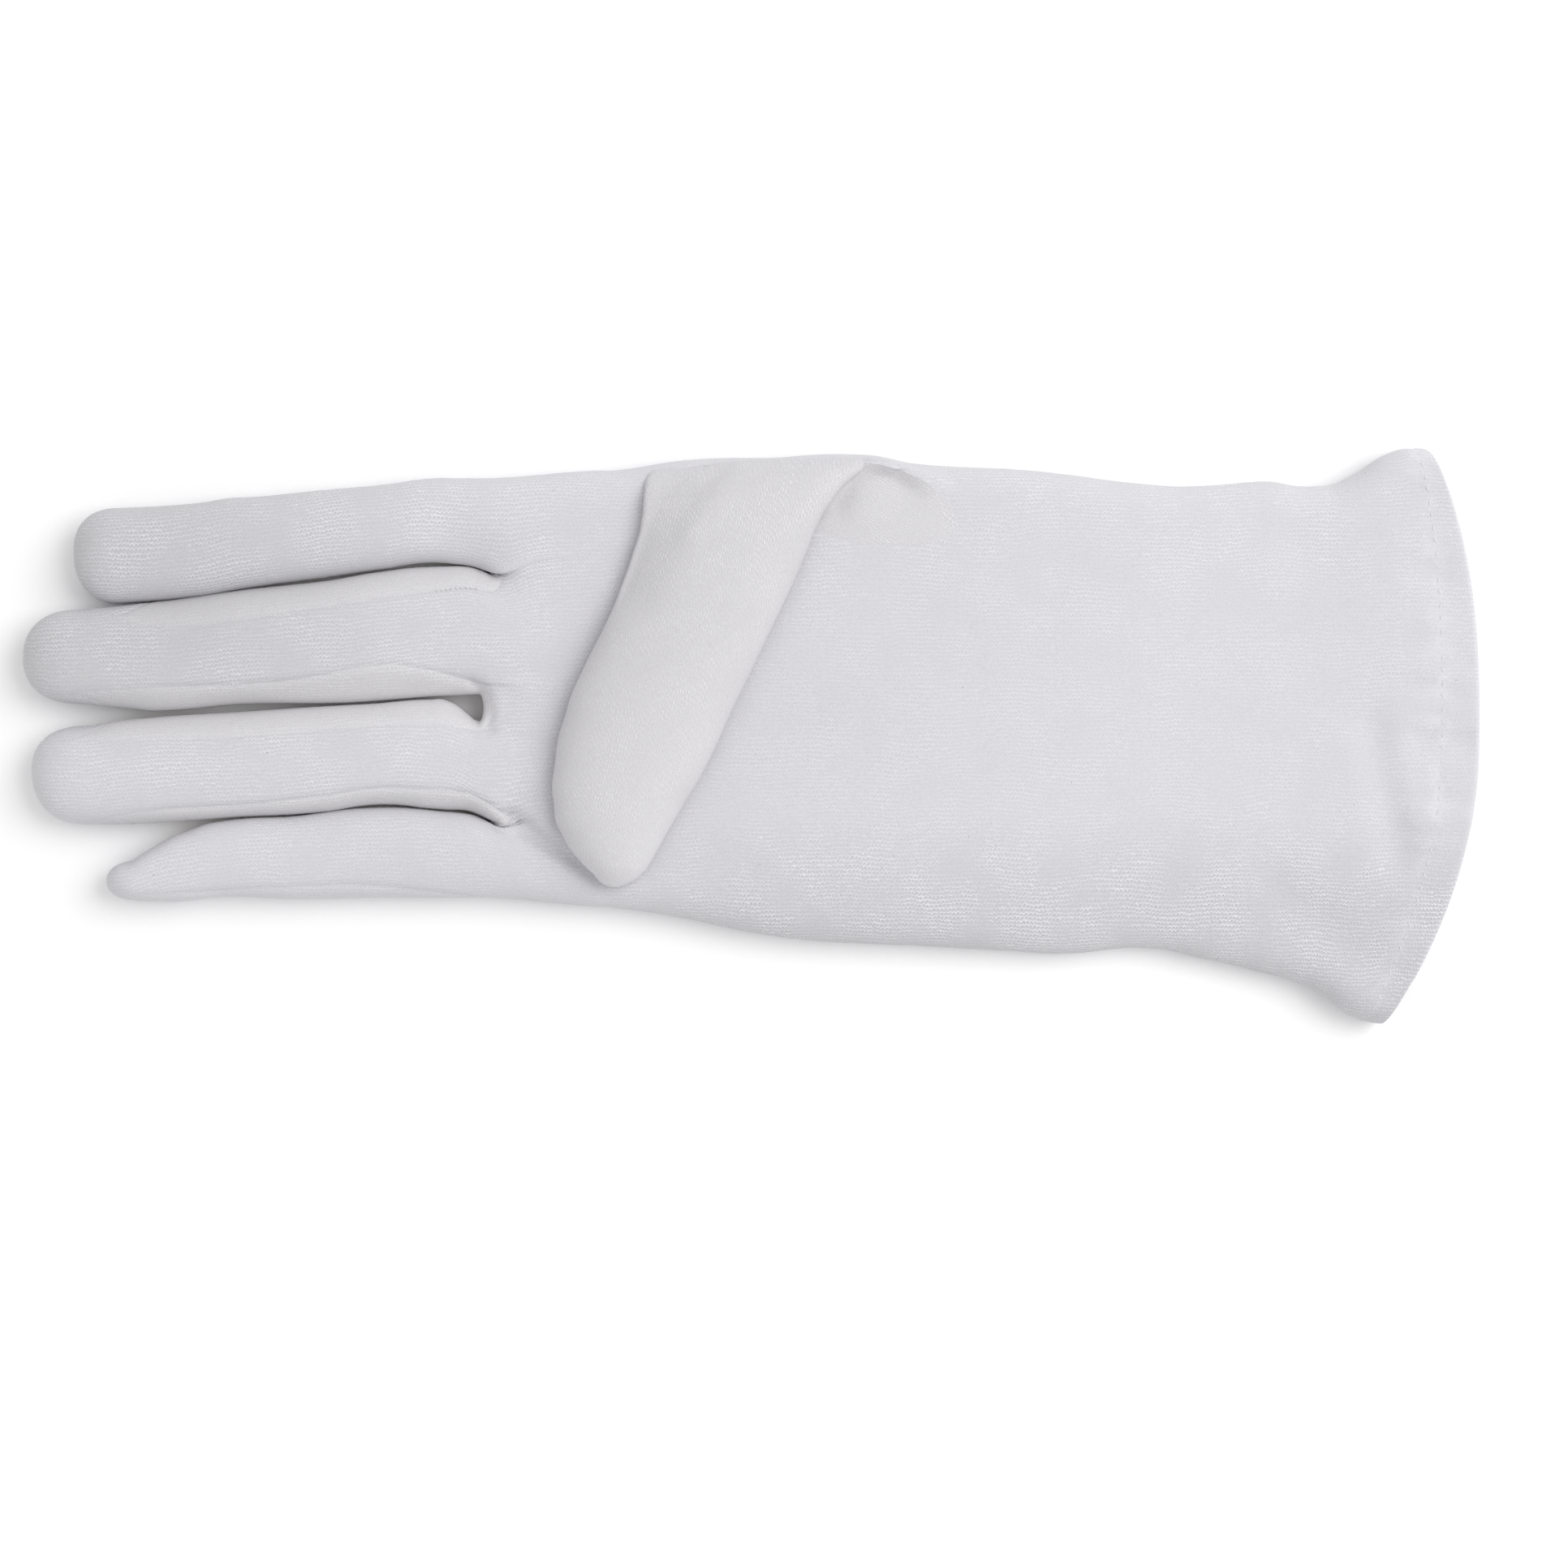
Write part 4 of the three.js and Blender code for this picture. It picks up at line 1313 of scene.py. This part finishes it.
# %% [markdown]
# ## The hem of the cuff
#
# The cuff's edge is turned in and stitched down, so the last 8 mm are double. One grid goes all
# the way round the cuff: along the outside to the mouth, round the fold, and back inside.

# %% Hem
HEM_FOLD = 1.0         # radius of its fold
OUTER_SPACING = 0.875  # distance between two rows of its outer layer
INNER_SPACING = 1.17   # and of its inner one
HEM_CLOTH = 0.85       # thickness of its cloth
OUTER_LAYER = (0.7, 10.6)  # only faces lower or higher than this are surely the hem's outer layer
RING = [(cell, "palm") for cell in PALM_CELLS] + [(cell, "back") for cell in reversed(BACK_CELLS)]


def hem_profile():
    """(station, depth under the surface) along the folded hem."""
    fold = MOUTH - HEM_FOLD
    outer = [(x, 0.0) for x in even(HEM_LINE, fold, OUTER_SPACING)]
    turned = [
        (fold + HEM_FOLD * math.sin(turn), HEM_FOLD * (1 - math.cos(turn))) for turn in half_turn(8)
    ]
    inner = [(x, 2 * HEM_FOLD) for x in reversed(even(HEM_LINE, fold, INNER_SPACING))]
    return outer + turned + inner


def hem_row(station, depth, along):
    """One ring of the hem, at a depth under the outer surface."""
    hand = hand_at(station)
    middle = Vector((0.5 * (hand["high"] + hand["low"]), 0.5 * hand["top"]))
    row = []
    for cell, face in RING:
        y, z = hand_place(cell, face, hand)
        place = Vector((station - drawn_back(hand, y), y, z + gathers(station, y, z)))
        towards = Vector((clamp(middle.x - y, -1, 1), clamp(middle.y - z, -1, 1)))
        if abs(y - middle.x) < abs(hand["high"] - middle.x) - EDGE_ROUND:
            towards.x = 0
        towards.normalize()
        place.y += towards.x * depth
        place.z += towards.y * depth
        row.append((place, (along, cloth_line(cell, face, hand))))
    return row


def hem_outward(place):
    if place.z < OUTER_LAYER[0]:
        return DOWN
    return UP if place.z > OUTER_LAYER[1] else Vector()


hem_rows = []
hem_along = HEM_LINE
last_step = (HEM_LINE, 0.0)
for step in hem_profile():
    hem_along += math.dist(step, last_step)
    ring = hem_row(*step, hem_along)
    hem_rows.append([*ring, ring[0]])
    last_step = step
hem_bm = bmesh.new()
lay_grid(hem_bm, hem_rows)
neaten(hem_bm, hem_outward)
hem = to_cloth(hem_bm, "turned_hem", COTTON, thickness=HEM_CLOTH)

# %% [markdown]
# ## Stitches
#
# A dress glove hides its stitches: the hem's sink into a whiter, gathered band, and at the end of
# the middle finger's strip a few short ones lie open. A stitch is an icosphere stretched to a grain
# of rice, and a row of them is walked at even steps along its seam.

# %% Stitches
STITCH_SUNK = 0.45     # share of a stitch's height that lies under the surface
UNEVEN_LENGTH = 0.7    # how much the stitches differ in length and height
UNEVEN_TILT = 0.5      # and in tilt
UNEVEN_SCALE = 0.7
GRAIN_SCALE = 6000     # scale of the thread's grain
GRAIN_RELIEF = 0.05    # and its height


def walked(points, step):
    """(place, direction) at even steps along a line through points."""
    found = []
    left = step / 2
    for start, end in zip(points, points[1:]):
        run = end - start
        while left < run.length:
            found.append((start + run.normalized() * left, run.normalized()))
            left += step
        left -= run.length
    return found


def sew(bm, points, step, size, slant, outward):
    """Sews a row of stitches; size is their length, width and height."""
    for k, (place, along) in enumerate(walked(points, step)):
        normal = outward(along).normalized()
        side = normal.cross(along).normalized()
        chance = noise.noise(place * UNEVEN_SCALE)
        tilt = slant * (1 if k % 2 else -1) + UNEVEN_TILT * chance
        lengthwise = along * math.cos(tilt) + side * math.sin(tilt)
        crosswise = normal.cross(lengthwise)
        turn = Matrix((lengthwise, crosswise, normal)).transposed().to_4x4()
        taut = 1 + UNEVEN_LENGTH * chance
        shape = Matrix.Diagonal((size[0] / 2 * taut, size[1] / 2, size[2] / 2 * taut, 1.0))
        seat = Matrix.Translation(place + normal * size[2] * (0.5 - STITCH_SUNK))
        bmesh.ops.create_icosphere(bm, subdivisions=2, radius=1.0, matrix=seat @ turn @ shape)


thread, thread_tree, thread_shader = new_material("cotton thread")
thread_place = add_node(thread_tree, "ShaderNodeTexCoord", "Object")
thread_grain = soft_noise(thread_place, GRAIN_SCALE, 2)
bump_inputs = (("Distance", GRAIN_RELIEF * MM), ("Height", thread_grain))
fill(thread_tree, thread_shader, (
    ("Base Color", (0.65, 0.64, 0.66, 1.0)), ("Roughness", 0.8), ("Sheen Weight", 0.2),
    ("Normal", add_node(thread_tree, "ShaderNodeBump", "Normal", bump_inputs)),
))
print("thread", thread.name)

# %% Sew the rows
HEM_STITCH_LINE = HEM_LINE + 0.7
OPEN_STITCHES_FROM = -63.0  # station from which stitches lie open along the middle finger's strip
OPEN_STITCHES_SPACING = 0.78  # steps in which their seam is measured
STITCH_FACES = 80      # faces of one stitch
stitch_bm = bmesh.new()
hem_ring = [settled(*place) for place, _ in hem_row(HEM_STITCH_LINE, 0.0, 0.0)]
hem_ring.append(hem_ring[0])
sew(
    stitch_bm, hem_ring, step=2.6, size=(1.1, 0.4, 0.12), slant=0.4,
    outward=lambda along: along.cross(Vector((1, 0, 0))),
)
strip_end = []
for x in even(OPEN_STITCHES_FROM, ROOT, OPEN_STITCHES_SPACING):
    seam_lift = seam_lifts("middle", "high", x)[0]
    strip_end.append(settled(x, *round_section(finger_at("middle", x), seam_lift)))
sew(stitch_bm, strip_end, step=1.0, size=(0.6, 0.36, 0.24), slant=0.2, outward=lambda along: UP)
stitches = to_object(stitch_bm, "stitches", thread)
print("stitches:", len(stitches.data.polygons) // STITCH_FACES)

# %% [markdown]
# ## Floor, light and camera
#
# The glove lies on a white table under soft studio light, seen from straight above. A large soft
# lamp stands towards the cuff and the index side, and a bright white surround fills the shadows.

# %% Floor
TABLE_SIZE = 3000.0
white, white_tree, paper = new_material("white table")
fill(white_tree, paper, (
    ("Base Color", (0.97, 0.97, 0.975, 1.0)), ("Roughness", 0.9), ("Specular IOR Level", 0.1),
))
floor_bm = bmesh.new()
bmesh.ops.create_grid(floor_bm, x_segments=1, y_segments=1, size=TABLE_SIZE)
floor = to_object(floor_bm, "table", white)

# %% Light
LAMP_PLACE = Vector((0.85, 0.36, 1.1))
LAMP_SIZE = 1.1
LAMP_WATTS = 11.8
SURROUND = 0.76        # strength of the white all round
world = bpy.data.worlds.new("white studio")
world.use_nodes = True
surround = (("Color", (1.0, 1.0, 1.0, 1.0)), ("Strength", SURROUND))
fill(world.node_tree, world.node_tree.nodes["Background"], surround)
bpy.context.scene.world = world
softbox = bpy.data.lights.new("key softbox", "AREA")
softbox.shape = "SQUARE"
softbox.size = LAMP_SIZE
softbox.energy = LAMP_WATTS
lamp = bpy.data.objects.new("key softbox", softbox)
lamp.location = LAMP_PLACE
lamp.rotation_euler = (-LAMP_PLACE).to_track_quat("-Z", "Y").to_euler()
bpy.context.collection.objects.link(lamp)
bpy.context.scene.view_settings.view_transform = "Standard"
print("lamp", round(LAMP_PLACE.length, 2), "m away")

# %% Camera
FIELD = 0.314          # width of the table that the picture shows
HEIGHT = 0.872         # height of the camera above the glove's middle
GLOVE_MIDDLE = 0.006
SENSOR = 36.0
camera_data = bpy.data.cameras.new("camera above")
camera_data.sensor_width = SENSOR
camera_data.lens = SENSOR * HEIGHT / FIELD
camera_data.clip_end = 10.0
camera = bpy.data.objects.new("camera above", camera_data)
camera.location = (0.0067, -0.0097, HEIGHT + GLOVE_MIDDLE)
bpy.context.collection.objects.link(camera)
bpy.context.scene.camera = camera
print("camera", HEIGHT, "m above the glove")

# %% [markdown]
# ## The pieces in the frame
#
# Each piece of cloth stands for one node of the frame and moves with it. Its flat size is the
# rectangle that it was cut from.

# %% Ride and replace
FLAT = {
    # node: piece, material slot, flat width and length in metres, flat area, how held, on what
    "palm_panel": (palm, "cotton", (0.118, 0.292), 0.0255, "laid", ["knitted_back"]),
    "back_panel": (back, "cotton", (0.118, 0.292), 0.0262, "laid", ["table"]),
    "fourchette_index_middle": (
        strips["index_middle"], "cotton", (0.0125, 0.168), 0.0016, "laid", ["knitted_back"],
    ),
    "fourchette_middle_ring": (
        strips["middle_ring"], "cotton", (0.018, 0.184), 0.00245, "laid", ["knitted_back"],
    ),
    "fourchette_ring_little": (
        strips["ring_little"], "cotton", (0.0115, 0.164), 0.0014, "laid", ["knitted_back"],
    ),
    "thumb": (thumb, "cotton", (0.085, 0.100), 0.0064, "folded", ["knitted_palm"]),
    "cuff_hem": (hem, "hem_cotton", (0.0166, 0.242), 0.0039, "folded", ["table"]),
}
for node, (piece, slot, cut, cut_area, held, under) in FLAT.items():
    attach(piece, "root")
    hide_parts(node)
    print(node, "is cut to", cut, "m")

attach(stitches, "root")

# %% Finish
bpy.context.view_layer.update()
